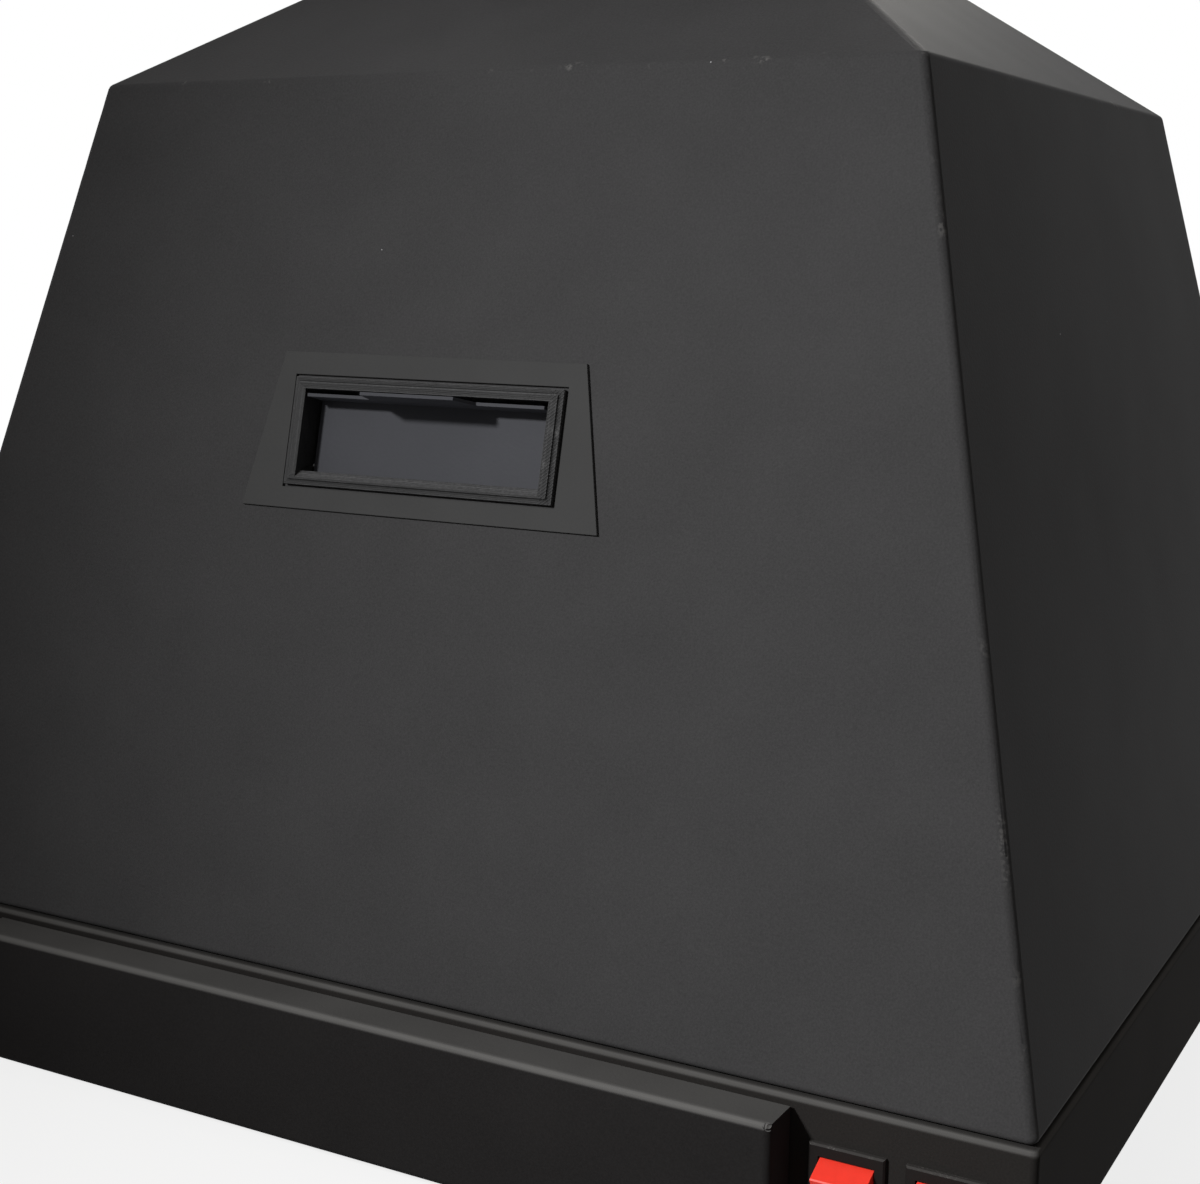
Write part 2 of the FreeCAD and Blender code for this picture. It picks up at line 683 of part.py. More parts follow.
def pane_front():
    """Depth of the pane's front surface below the hood's face."""
    return flap_pivot()[1] - FLAP_PIVOT_RISE - FLAP_SWING_GAP


def frame_back():
    return pane_front() - PANE_THICK - SLIP


def window_frame():
    side = WINDOW_WIDTH / 2 + FRAME_BORDER_SIDE
    v0 = WINDOW_FOOT - FRAME_BORDER_END
    v1 = WINDOW_FOOT + WINDOW_HEIGHT + FRAME_BORDER_END
    rim = box(-side, side, v0, v1, 0, FRAME_RIM)
    inset = FRAME_RIDGE_INSET
    ridge = box(-side + inset, side - inset, v0 + inset, v1 - inset, FRAME_RIM, FRAME_RIM + FRAME_RIDGE)
    u0, u1, w0, w1 = window_edges(FRAME_WALL)
    body = box(u0, u1, w0, w1, frame_back(), 0)
    frame = fuse([rim, ridge, body])
    u0, u1, w0, w1 = window_edges(0)
    frame = frame.cut(box(u0, u1, w0, w1, -WINDOW_HEIGHT, WINDOW_HEIGHT))
    top = FRAME_RIM + FRAME_RIDGE
    sill = w0 + FRAME_SILL
    frame = fuse([frame, box(u0, u1, w0 - FRAME_LEDGE, sill, flap_faces()[1] + SLIP, top)])
    ledge = [Vector(u0, w0 - FRAME_LEDGE, top), Vector(u0, sill, top)]
    ledge.append(Vector(u0, sill, top - FRAME_LEDGE - FRAME_SILL))
    frame = frame.cut(prism(ledge, Vector(u1 - u0, 0, 0)))
    seat = FRAME_WALL - PANE_LAND
    u0, u1, w0, w1 = window_edges(seat)
    frame = frame.cut(box(u0, u1, w0, w1, -WINDOW_HEIGHT, pane_front()))
    v, n = flap_pivot()
    far = WINDOW_WIDTH / 2 + FRAME_WALL
    return on_face(frame.cut(rod(FLAP_PIN_RADIUS + SEAT, Vector(-far - 1, v, n), Vector(far + 1, v, n))))


def window_pane():
    u0, u1, v0, v1 = window_edges(FRAME_WALL - PANE_LAND - PANE_SLIP)
    return on_face(box(u0, u1, v0, v1, pane_front() - PANE_THICK, pane_front()))


def pane_retainer():
    back = frame_back()
    u0, u1, v0, v1 = window_edges(FRAME_WALL + RETAINER_EDGE)
    plate = box(u0, u1, v0, v1, back - RETAINER_THICK, back)
    u0, u1, v0, v1 = window_edges(-2)
    return on_face(plate.cut(box(u0, u1, v0, v1, back - 5, back + 5)))


def flap_pins():
    v, n = flap_pivot()
    inner = Vector(WINDOW_WIDTH / 2 - FLAP_KNUCKLE, v, n)
    outer = Vector(WINDOW_WIDTH / 2 + FRAME_WALL, v, n)
    return on_face(both_sides(rod(FLAP_PIN_RADIUS, inner, outer)))


def window_flap():
    """Shutter with a lip along its head and a finger tab in the middle of the lip."""
    v, n = flap_pivot()
    half = WINDOW_WIDTH / 2 - FLAP_SIDE_GAP
    top = WINDOW_FOOT + WINDOW_HEIGHT - FLAP_GAP
    front = FRAME_RIM + FRAME_RIDGE
    low, high = flap_faces()
    panel = box(-half, half, WINDOW_FOOT + FLAP_FOOT_GAP, top, low, high)
    lip = box(-half, half, top - FLAP_THICK, top, low, front)
    wide = FLAP_TAB_WIDTH / 2
    thin = wide - FLAP_TAB_TAPER
    tab = [Vector(-wide, top, front), Vector(wide, top, front)]
    tab += [Vector(thin, top, front + FLAP_TAB_REACH), Vector(-thin, top, front + FLAP_TAB_REACH)]
    pieces = [panel, lip, prism(tab, Vector(0, -FLAP_THICK, 0))]
    near = Vector(WINDOW_WIDTH / 2 - FLAP_KNUCKLE, v, n)
    pieces += both_sides(rod(FLAP_KNUCKLE_RADIUS, near, Vector(half, v, n))).Solids
    bores = both_sides(rod(FLAP_PIN_RADIUS + RUNNING, near, Vector(half + 1, v, n)))
    return on_face(fuse(pieces).cut(bores))


# Rocker switches
def rocker_pivot(x):
    return Vector(x, BASE_FRONT + ROCKER_PIVOT_DEPTH, ROCKER_Z)


def rocker_case(x):
    wide = ROCKER_BEZEL_WIDTH / 2
    tall = ROCKER_BEZEL_HEIGHT / 2
    face = BASE_FRONT - ROCKER_BEZEL_THICK
    bezel = box(x - wide, x + wide, face, BASE_FRONT, ROCKER_Z - tall, ROCKER_Z + tall)
    rims = [e for e in bezel.Edges if abs(e.BoundBox.YMax - face) < 0.01]
    bezel = bezel.makeChamfer(BEZEL_CHAMFER, rims)
    wide = ROCKER_CASE_WIDTH / 2
    tall = ROCKER_CASE_HEIGHT / 2
    back = BASE_FRONT + ROCKER_CASE_DEPTH
    case = fuse([bezel, box(x - wide, x + wide, BASE_FRONT, back, ROCKER_Z - tall, ROCKER_Z + tall)])
    wide = ROCKER_WIDTH / 2 + ROCKER_SIDE_GAP
    tall = ROCKER_HEIGHT / 2 + ROCKER_END_GAP
    case = case.cut(box(x - wide, x + wide, face - 1, back - 3, ROCKER_Z - tall, ROCKER_Z + tall))
    pivot = rocker_pivot(x)
    reach = Vector(wide + 1.2, 0, 0)
    return case.cut(rod(TRUNNION_RADIUS + RUNNING, pivot - reach, pivot + reach))


def rocker(x):
    """Red key: two faces that meet in a shallow valley, tipped with its upper half out."""
    pivot = rocker_pivot(x)
    half = ROCKER_HEIGHT / 2
    ridge = -ROCKER_PIVOT_DEPTH - RIDGE_PROUD
    rise = half - RIDGE_INSET
    bezel = -ROCKER_PIVOT_DEPTH - ROCKER_BEZEL_THICK
    heel = 2 * TRUNNION_RADIUS
    upper = [(ridge, rise - RIDGE_BLUNT), (ridge + RIDGE_BLUNT, rise)]
    upper += [(bezel, math.sqrt(half ** 2 - bezel ** 2)), (0, half), (heel, heel)]
    outline = [(ridge + ROCKER_VALLEY, 0)] + upper + [(y, -z) for y, z in reversed(upper)]
    wide = ROCKER_WIDTH / 2
    points = [Vector(x - wide, pivot.y + y, pivot.z + z) for y, z in outline]
    key = prism(points, Vector(ROCKER_WIDTH, 0, 0))
    reach = Vector(wide + 1.1, 0, 0)
    key = fuse([key, rod(TRUNNION_RADIUS, pivot - reach, pivot + reach)])
    key.rotate(pivot, Vector(1, 0, 0), math.degrees(ROCKER_TILT))
    return key


def switch_terminals():
    blades = []
    back = BASE_FRONT + ROCKER_CASE_DEPTH
    for x in rocker_xs():
        for step in (-1, 0, 1):
            z = ROCKER_Z + step * TERMINAL_PITCH
            blades.append(box(x - 3.1, x + 3.1, back, back + TERMINAL_LENGTH, z - 0.4, z + 0.4))
    return Part.makeCompound(blades)


# Drawer
def drawer_front():
    back = BASE_FRONT - SEAL_THICK - SEAL_GAP
    pan = box(-DRAWER_SIDE, DRAWER_SIDE, DRAWER_FACE, back, DRAWER_LOW, DRAWER_HIGH)
    rims = [e for e in pan.Edges if abs(e.BoundBox.YMax - DRAWER_FACE) < 0.01]
    pan = pan.makeFillet(BEND, rims)
    side = DRAWER_SIDE - SHEET
    low = DRAWER_LOW + SHEET
    high = DRAWER_HIGH - SHEET
    pan = pan.cut(box(-side, side, DRAWER_FACE + SHEET, back - SHEET, low, high))
    side -= DRAWER_RETURN
    pan = pan.cut(box(-side, side, back - 5, back + 5, low + DRAWER_RETURN, high - DRAWER_RETURN))
    corner = Vector(DRAWER_SIDE, DRAWER_FACE, DRAWER_HIGH)
    pan = pan.cut(both_sides(Part.makeSphere(RELIEF_RADIUS, corner)))
    inside = DRAWER_FACE + SHEET
    studs = drill_back(drawer_stud_spots(), M3, inside, inside + SHEET + STUD_LENGTH)
    return fuse([pan] + studs.Solids)


def drawer_seal():
    back = BASE_FRONT - SEAL_THICK - SEAL_GAP
    side = DRAWER_SIDE - SHEET
    low = DRAWER_LOW + SHEET
    high = DRAWER_HIGH - SHEET
    ring = box(-side, side, back, back + SEAL_THICK, low, high)
    side -= DRAWER_RETURN
    return ring.cut(box(-side, side, back - 1, back + 5, low + DRAWER_RETURN, high - DRAWER_RETURN))


def drawer_stud_spots():
    x = TRAY_SIDE - STUD_INSET
    return [(-x, SLIDE_Z), (-x / 3, SLIDE_Z), (x / 3, SLIDE_Z), (x, SLIDE_Z)]


def drawer_tray():
    front = DRAWER_FACE + SHEET
    back = front + TRAY_DEPTH
    tray = box(-TRAY_SIDE, TRAY_SIDE, front, back, TRAY_FLOOR, TRAY_FLOOR + TRAY_HEIGHT)
    corners = [e for e in tray.Edges if abs(e.BoundBox.ZMax - TRAY_FLOOR) < 0.01]
    tray = tray.makeFillet(BEND - 0.5, corners)
    side = TRAY_SIDE - SHEET
    hollow = box(-side, side, front + SHEET, back - SHEET, TRAY_FLOOR + SHEET, BASE_TOP)
    return tray.cut(hollow).cut(drill_back(drawer_stud_spots(), M3 + SEAT, front - 1, front + 5))


def drawer_nuts():
    """Hexagon nuts on the studs that are welded inside the drawer's front."""
    inside = DRAWER_FACE + 2 * SHEET
    turns = [math.radians(turn) for turn in range(30, 390, 60)]
    hexagon = [Vector(NUT_RADIUS * math.cos(turn), inside, NUT_RADIUS * math.sin(turn)) for turn in turns]
    nut = prism(hexagon, Vector(0, NUT_THICK, 0))
    nut = nut.cut(drill_back([(0, 0)], M3 + SEAT, inside - 1, inside + 5))
    return Part.makeCompound([nut.translated(Vector(x, 0, z)) for x, z in drawer_stud_spots()])


def sample_stage():
    """Board with a shallow pocket that locates a square plate under the lens."""
    half = STAGE_SIZE / 2
    low = TRAY_FLOOR + SHEET + POST_HEIGHT
    high = low + STAGE_THICK
    board = round_block(-half, half, VIEW_Y - half, VIEW_Y + half, low, high, 4)
    half = PLATE_SIZE / 2
    board = board.cut(box(-half, half, VIEW_Y - half, VIEW_Y + half, high - PLATE_POCKET, high + 1))
    half = STAGE_SIZE / 2
    for x in (-half, half):
        board = board.cut(rod(LIFT_RADIUS, Vector(x, VIEW_Y, low - 1), Vector(x, VIEW_Y, high + 1)))
    return board


def stage_posts():
    low = TRAY_FLOOR + SHEET
    high = low + POST_HEIGHT
    reach = STAGE_SIZE / 2 - POST_INSET
    spots = [(sx * reach, VIEW_Y + sy * reach) for sx in (-1, 1) for sy in (-1, 1)]
    return Part.makeCompound([rod(POST_RADIUS, Vector(x, y, low), Vector(x, y, high)) for x, y in spots])


# Telescopic slides, drawn for the right side
def slide_span():
    start = BASE_FRONT + SHEET + SLIDE_START
    return start, start + SLIDE_LENGTH


def slide_member(path):
    y0, y1 = slide_span()
    points = [(SLIDE_WALL - depth, SLIDE_Z + z) for depth, z in path]
    return both_sides(folded_strip(points, SLIDE_SHEET, y0, y1))


def slide_halves():
    """Half height of the outer, middle and inner member, at the middle of the sheet."""
    outer = SLIDE_HEIGHT / 2 - SLIDE_SHEET / 2
    middle = outer - SLIDE_SHEET - BALL_GAP
    return outer, middle, middle - SLIDE_SHEET - INNER_GAP


def slide_outers():
    tall = slide_halves()[0]
    near = SLIDE_SHEET / 2
    edge = tall - RACE_LIP
    path = [(OUTER_REACH, edge), (OUTER_REACH, tall), (near, tall)]
    return slide_member(path + [(depth, -z) for depth, z in reversed(path)])


def slide_middles():
    tall = slide_halves()[1]
    edge = tall - SLIDE_SHEET * 5 / 3
    path = [(MIDDLE_REACH, edge), (MIDDLE_REACH, tall), (MIDDLE_BACK, tall)]
    return slide_member(path + [(depth, -z) for depth, z in reversed(path)])


def slide_inners():
    tall = slide_halves()[2]
    far = SLIDE_THICK - SLIDE_SHEET / 2
    return slide_member([(INNER_BACK, tall), (far, tall), (far, -tall), (INNER_BACK, -tall)])


def slide_brackets():
    y0, y1 = slide_span()
    x = SLIDE_WALL + SHEET / 2
    floor = FLOOR_TOP + SHEET / 2
    path = [(x + FLANGE, floor), (x, floor), (x, BASE_TOP - SHEET - BRACKET_GAP)]
    return both_sides(folded_strip(path, SHEET, y0, y1))


# Electronics in the two bays beside the drawer
def block_on_floor(x, y, size, lift):
    wide, deep, tall = size
    z = FLOOR_TOP + lift
    return box(x - wide / 2, x + wide / 2, y - deep / 2, y + deep / 2, z, z + tall)


def power_supply():
    """Closed case with slots in its top and a step for the terminals."""
    wide, deep, tall = SUPPLY_SIZE
    case = block_on_floor(-BAY_X, SUPPLY_Y, SUPPLY_SIZE, 0)
    top = FLOOR_TOP + tall
    left = -BAY_X - wide / 2
    right = -BAY_X + wide / 2
    front = SUPPLY_Y - deep / 2
    cuts = [box(left + 4, right - 4, front - 1, front + 9, FLOOR_TOP + tall / 4, top + 1)]
    for step in range(5):
        y = front + deep / 4 + step * deep / 8
        cuts.append(box(left + 10, right - 10, y, y + 4, top - 1, top + 1))
    return case.cut(Part.makeCompound(cuts))


def lamp_ballasts():
    blocks = []
    for side in (-1, 1):
        block = block_on_floor(BAY_X + side * BALLAST_PITCH / 2, BALLAST_Y, BALLAST_SIZE, 0)
        blocks.append(block.makeChamfer(2, edges_at_height(block, FLOOR_TOP + BALLAST_SIZE[2])))
    return Part.makeCompound(blocks)


def board_pillars():
    wide = BOARD_SIZE[0] / 2 - PILLAR_INSET
    deep = BOARD_SIZE[1] / 2 - PILLAR_INSET
    top = FLOOR_TOP + PILLAR_HEIGHT
    spots = [(sx * wide - BAY_X, BOARD_Y + sy * deep) for sx in (-1, 1) for sy in (-1, 1)]
    return Part.makeCompound([rod(3, Vector(x, y, FLOOR_TOP), Vector(x, y, top)) for x, y in spots])


def board_spot(across, along):
    """A spot of the circuit board, as shares of its width and length from its middle."""
    return BOARD_SIZE[0] * across - BAY_X, BOARD_Y + BOARD_SIZE[1] * along


def control_board():
    """Circuit board with its relays, connector, capacitor and processor."""
    parts = [block_on_floor(-BAY_X, BOARD_Y, BOARD_SIZE, PILLAR_HEIGHT)]
    lift = PILLAR_HEIGHT + BOARD_SIZE[2]
    blocks = [(-0.24, -0.27, RELAY_SIZE), (-0.24, -0.115, RELAY_SIZE)]
    blocks += [(0.24, -0.23, CONNECTOR_SIZE), (0.13, 0.17, CHIP_SIZE)]
    for across, along, size in blocks:
        parts.append(block_on_floor(*board_spot(across, along), size, lift))
    can = Vector(*board_spot(-0.26, 0.18), FLOOR_TOP + lift)
    parts.append(rod(CAN_RADIUS, can, can + UP * CAN_HEIGHT))
    return fuse(parts)


# Lamps, drawn for the right side
def trough_point(across, out):
    """A point of the lamp trough's section: across its width, and out towards the plate."""
    x = TROUGH_X + across * math.cos(TROUGH_TILT) - out * math.sin(TROUGH_TILT)
    z = TROUGH_Z - across * math.sin(TROUGH_TILT) - out * math.cos(TROUGH_TILT)
    return x, z


def wall_point(z):
    """Inside of the hood's side wall at height z."""
    return SHOULDER_SIDE + (CREASE - z) * math.tan(LEAN_SIDE) - SHEET / math.cos(LEAN_SIDE)


def trough_ends():
    return VIEW_Y - TROUGH_LENGTH / 2, VIEW_Y + TROUGH_LENGTH / 2


def lamp_troughs():
    half = TROUGH_WIDTH / 2
    y0, y1 = trough_ends()
    path = [trough_point(-half, TROUGH_DEPTH), trough_point(-half, 0), trough_point(half, 0)]
    path.append(trough_point(half, TROUGH_DEPTH))
    trough = folded_strip(path, LAMP_SHEET, y0, y1)
    top_x, top_z = trough_point(half, 0)
    low = top_z - EAR_HEIGHT / 2
    high = top_z + EAR_HEIGHT / 2
    skin = LAMP_SHEET / 2 / math.cos(LEAN_SIDE)
    ear = [(top_x, top_z), (wall_point(high) - skin, high), (wall_point(low) - skin, low)]
    starts = (y0 + EAR_INSET, y1 - EAR_INSET - EAR_LENGTH)
    ears = [folded_strip(ear, LAMP_SHEET, y, y + EAR_LENGTH) for y in starts]
    return both_sides(fuse([trough] + ears))


def tube_centre(index):
    return trough_point((index - 0.5) * TUBE_PITCH, TUBE_OUT)


def lamp_reflectors():
    """Bright sheet behind the tubes, folded to a ridge between the two."""
    reach = TUBE_LENGTH / 2 - 2
    edge = TROUGH_WIDTH / 2 - LAMP_SHEET - 0.5
    valley = TUBE_PITCH / 2 + 6
    path = [(-edge, REFLECTOR_EDGE), (-valley, REFLECTOR_LIFT), (-4, REFLECTOR_LIFT), (0, REFLECTOR_RIDGE)]
    path += [(4, REFLECTOR_LIFT), (valley, REFLECTOR_LIFT), (edge, REFLECTOR_EDGE)]
    points = [trough_point(across, out) for across, out in path]
    return both_sides(folded_strip(points, LAMP_SHEET / 2, VIEW_Y - reach, VIEW_Y + reach))


def tube(index):
    x, z = tube_centre(index)
    y0 = VIEW_Y - TUBE_LENGTH / 2
    y1 = VIEW_Y + TUBE_LENGTH / 2
    glass = rod(TUBE_RADIUS - 0.3, Vector(x, y0 + TUBE_CAP, z), Vector(x, y1 - TUBE_CAP, z))
    caps = [rod(TUBE_RADIUS, Vector(x, y, z), Vector(x, y + TUBE_CAP, z)) for y in (y0, y1 - TUBE_CAP)]
    pins = []
    for s in (-1, 1):
        px = x + s * PIN_SPREAD * math.cos(TROUGH_TILT)
        pz = z - s * PIN_SPREAD * math.sin(TROUGH_TILT)
        pins.append(rod(PIN_RADIUS, Vector(px, y0 - PIN_LENGTH, pz), Vector(px, y0, pz)))
        pins.append(rod(PIN_RADIUS, Vector(px, y1, pz), Vector(px, y1 + PIN_LENGTH, pz)))
    return both_sides(fuse([glass] + caps + pins))


def tube_sockets():
    """Two-pin holders at both ends of each tube, standing on the trough."""
    wide = SOCKET_WIDTH / 2
    back = TUBE_OUT - LAMP_SHEET / 2 - SLIP
    slot_wide = PIN_SPREAD + PIN_RADIUS + SLIP
    slot_tall = PIN_RADIUS + SLIP
    near = TUBE_LENGTH / 2 + SLIP
    far = TUBE_LENGTH / 2 + SOCKET_LENGTH
    sockets = []
    for index in (0, 1):
        x, z = tube_centre(index)
        for y0, y1 in ((VIEW_Y - far, VIEW_Y - near), (VIEW_Y + near, VIEW_Y + far)):
            socket = box(-wide, wide, y0, y1, -back, wide)
            socket = socket.cut(box(-slot_wide, slot_wide, y0 - 1, y1 + 1, -slot_tall, slot_tall))
            socket.rotate(Vector(0, 0, 0), Vector(0, 1, 0), 180 + math.degrees(TROUGH_TILT))
            sockets.append(both_sides(socket.translated(Vector(x, 0, z))))
    return Part.makeCompound(sockets)


def led_bars():
    y0, y1 = trough_ends()
    half = TROUGH_WIDTH / 2 + LAMP_SHEET / 2
    middle = -half - LED_BOARD / 2
    edges = [trough_point(middle, LED_BAR_EDGE), trough_point(middle, LED_BAR_EDGE + LED_BAR_WIDTH)]
    bar = folded_strip(edges, LED_BOARD, y0 + LED_BAR_INSET, y1 - LED_BAR_INSET)
    out = LED_BAR_EDGE + LED_BAR_WIDTH / 2
    half = LED_SIZE / 2
    pitch = (TROUGH_LENGTH - 2 * LED_INSET) / (LED_COUNT - 1)
    lights = []
    for step in range(LED_COUNT):
        y = y0 + LED_INSET + step * pitch
        ends = [trough_point(middle - LED_BOARD, reach) for reach in (out - half, out + half)]
        lights.append(folded_strip(ends, LED_BOARD, y - half, y + half))
    return both_sides(fuse([bar] + lights))


# Camera turret on the roof
def turret_extents(inset):
    return rim_extents(TURRET_INSET + inset)


def camera_housing():
    side, front, back = turret_extents(0)
    shell = round_block(-side, side, front, back, ROOF_TOP, TURRET_TOP, BEND)
    side, front, back = turret_extents(SHEET)
    shell = shell.cut(round_block(-side, side, front, back, ROOF_TOP + SHEET, TURRET_TOP + 5, BEND - SHEET))
    side, front, back = turret_extents(SHEET + TURRET_FLANGE)
    cuts = [box(-side, side, front, back, ROOF_TOP - 5, ROOF_TOP + 5)]
    long = TURRET_VENT_LENGTH / 2
    for step in range(TURRET_VENTS):
        z = TURRET_TOP - LID_SKIRT - (step + 1) * TURRET_VENT_PITCH
        cuts.append(box(-BASE_WIDTH, BASE_WIDTH, VIEW_Y - long, VIEW_Y + long, z, z + TURRET_VENT_WIDTH))
    cuts.append(drill_down(turret_screw_spots(), M3 + SEAT, ROOF_TOP - 5, ROOF_TOP + 5))
    return shell.cut(Part.makeCompound(cuts)).cut(lid_screw_holes(SEAT))


def housing_lid():
    side, front, back = turret_extents(-SLIP)
    inner = round_block(-side, side, front, back, TURRET_TOP - LID_SKIRT, TURRET_TOP, BEND + SLIP)
    side, front, back = turret_extents(-SLIP - SHEET)
    low = TURRET_TOP - LID_SKIRT
    outer = round_block(-side, side, front, back, low, TURRET_TOP + SHEET, BEND + SLIP + SHEET)
    outer = outer.makeFillet(2.0, edges_at_height(outer, TURRET_TOP + SHEET))
    return outer.cut(inner).cut(lid_screw_holes(SLIP))


def lid_screw_ys():
    side, front, back = turret_extents(0)
    return [front + LID_SCREW_INSET, back - LID_SCREW_INSET]


def lid_screw_holes(clearance):
    across = Vector(BASE_WIDTH, 0, 0)
    middles = [Vector(0, y, TURRET_TOP - LID_SKIRT / 2) for y in lid_screw_ys()]
    return Part.makeCompound([rod(M3 + clearance, middle - across, middle + across) for middle in middles])


def camera_plate():
    side, front, back = turret_extents(SHEET + 0.5)
    low = ROOF_TOP + SHEET
    plate = box(-side, side, front, back, low, low + CAMERA_PLATE)
    hole = LENS_RADIUS + RING_WALL + LENS_HOLE_GAP
    cuts = [rod(hole, Vector(0, VIEW_Y, low - 1), Vector(0, VIEW_Y, low + 5))]
    cuts.append(drill_down(turret_screw_spots(), M3 + SEAT, low - 1, low + 5))
    return plate.cut(Part.makeCompound(cuts))


def turret_screws():
    z = ROOF_TOP + SHEET + CAMERA_PLATE
    screws = [pan_screw(M3, TURRET_SCREW, Vector(x, y, z), -UP) for x, y in turret_screw_spots()]
    side, front, back = turret_extents(-SLIP - SHEET)
    z = TURRET_TOP - LID_SKIRT / 2
    for s in (-1, 1):
        spots = [Vector(s * side, y, z) for y in lid_screw_ys()]
        screws += [pan_screw(M3, TURRET_SCREW, spot, Vector(-s, 0, 0)) for spot in spots]
    return Part.makeCompound(screws)


def camera_body():
    half = CAMERA_SIDE / 2
    high = LENS_HIGH + CAMERA_LENGTH
    front = VIEW_Y - half
    back = VIEW_Y + half
    body = round_block(-half, half, front, back, LENS_HIGH, high, 3)
    cuts = [box(-6, 6, VIEW_Y - 5, VIEW_Y + 5, high - 6, high + 1)]
    for step in range(CAMERA_FINS):
        z = LENS_HIGH + (step + 2) * FIN_PITCH
        cuts.append(both_sides(box(half - FIN_DEPTH, half + 1, front - 1, back + 1, z, z + FIN_PITCH / 3)))
    return body.cut(Part.makeCompound(cuts))


def camera_bracket():
    """Angle with a rib, behind the camera, cut out round the lens."""
    back = VIEW_Y + CAMERA_SIDE / 2
    wide = CAMERA_SIDE / 2 - 2
    floor = ROOF_TOP + SHEET + CAMERA_PLATE
    foot_deep = (turret_extents(SHEET)[2] - back) * BRACKET_FOOT_SHARE
    thick = BRACKET_THICK
    wall = box(-wide, wide, back, back + thick, floor, LENS_HIGH + CAMERA_LENGTH - 8)
    foot = box(-wide, wide, back, back + foot_deep, floor, floor + thick)
    inner = Vector(-thick / 2, back + thick, floor + thick)
    corners = [inner, inner + Vector(0, foot_deep - thick, 0), inner + UP * foot_deep]
    rib = prism(corners, Vector(thick, 0, 0))
    lens_room = drill_down([(0, VIEW_Y)], LENS_RADIUS + RING_WALL + 4, 0, LENS_HIGH - LENS_MOUNT - 2)
    return fuse([wall, foot, rib]).cut(lens_room)


def ring_spans():
    """Lowest and highest point of the lens rings, from the front of the lens up."""
    low = LENS_LOW + LENS_NOSE + RING_GAP
    spans = []
    for tall in RINGS:
        spans.append((low, low + tall))
        low += tall + 2 * RING_GAP + LENS_COLLAR
    return spans


def lens_barrel():
    axis = Vector(0, VIEW_Y, 0)
    collar = LENS_RADIUS + RING_WALL - 1
    step = LENS_HIGH - LENS_MOUNT
    pieces = [rod(LENS_RADIUS, axis + UP * LENS_LOW, axis + UP * step)]
    pieces.append(rod(collar, axis + UP * LENS_LOW, axis + UP * (LENS_LOW + LENS_NOSE)))
    pieces.append(rod(MOUNT_RADIUS, axis + UP * step, axis + UP * LENS_HIGH))
    for span in ring_spans()[:-1]:
        z = span[1] + RING_GAP
        pieces.append(rod(collar, axis + UP * z, axis + UP * (z + LENS_COLLAR)))
    mouth = Part.makeCone(LENS_BORE + 4, LENS_BORE, LENS_RECESS, axis + UP * LENS_LOW, UP)
    return fuse(pieces).cut(mouth)


def lens_glass():
    high = LENS_LOW + LENS_RECESS
    return rod(LENS_BORE - SEAT, Vector(0, VIEW_Y, high - GLASS_THICK), Vector(0, VIEW_Y, high))


def lens_ring(span, wall):
    low, high = span
    ring = rod(LENS_RADIUS + wall, Vector(0, VIEW_Y, low), Vector(0, VIEW_Y, high))
    ring = ring.cut(rod(LENS_RADIUS + RUNNING, Vector(0, VIEW_Y, low - 1), Vector(0, VIEW_Y, high + 1)))
    grooves = []
    for step in range(RING_GROOVES):
        groove = box(-0.9, 0.9, LENS_RADIUS + wall - 0.8, LENS_RADIUS + wall + 2, low + 2, high - 2)
        groove.rotate(Vector(0, 0, 0), UP, step * 360 / RING_GROOVES)
        grooves.append(groove.translated(Vector(0, VIEW_Y, 0)))
    return ring.cut(Part.makeCompound(grooves))


def filter_ring():
    """Screw-in filter cell under the lens."""
    low = LENS_LOW - FILTER_HEIGHT
    ring = rod(LENS_RADIUS + RING_WALL - 1, Vector(0, VIEW_Y, low), Vector(0, VIEW_Y, LENS_LOW))
    return ring.cut(rod(LENS_RADIUS, Vector(0, VIEW_Y, low - 1), Vector(0, VIEW_Y, LENS_LOW + 1)))


def filter_glass():
    low = LENS_LOW - (FILTER_HEIGHT + FILTER_THICK) / 2
    return rod(LENS_RADIUS - SEAT, Vector(0, VIEW_Y, low), Vector(0, VIEW_Y, low + FILTER_THICK))


# Back of the base
def inlet_screw_spots():
    return [(INLET_X - INLET_EAR, REAR_Z), (INLET_X + INLET_EAR, REAR_Z)]


def inlet_block(half, y0, y1, low, high):
    """Box about the inlet's middle, from its own height low to high."""
    return box(INLET_X - half, INLET_X + half, y0, y1, REAR_Z + low, REAR_Z + high)


def inlet_socket():
    """Mains inlet with a fuse drawer under the pins."""
    tall = INLET_HEIGHT / 2
    flange = inlet_block(INLET_WIDTH / 2, BASE_BACK, BASE_BACK + INLET_FLANGE, -tall, tall)
    corners = [e for e in flange.Edges if e.BoundBox.YLength > INLET_FLANGE - 0.01]
    flange = flange.makeFillet(4, corners)
    wide = INLET_BODY_WIDTH / 2
    body = inlet_block(wide, BASE_BACK - INLET_DEPTH, BASE_BACK, -wide, wide)
    mouth = inlet_block(MOUTH_WIDTH / 2, BASE_BACK - MOUTH_DEPTH, BASE_BACK + 5, MOUTH_LOW, MOUTH_HIGH)
    long = [e for e in mouth.Edges if e.BoundBox.YLength > MOUTH_DEPTH]
    mouth = mouth.makeChamfer(4, [e for e in long if e.BoundBox.ZMin > REAR_Z])
    well = inlet_block(FUSE_WIDTH / 2, BASE_BACK - FUSE_DEPTH, BASE_BACK + 5, FUSE_LOW, FUSE_HIGH)
    holes = drill_back(inlet_screw_spots(), M3 + SEAT, BASE_BACK - 1, BASE_BACK + 5)
    return fuse([flange, body]).cut(mouth).cut(well).cut(holes)


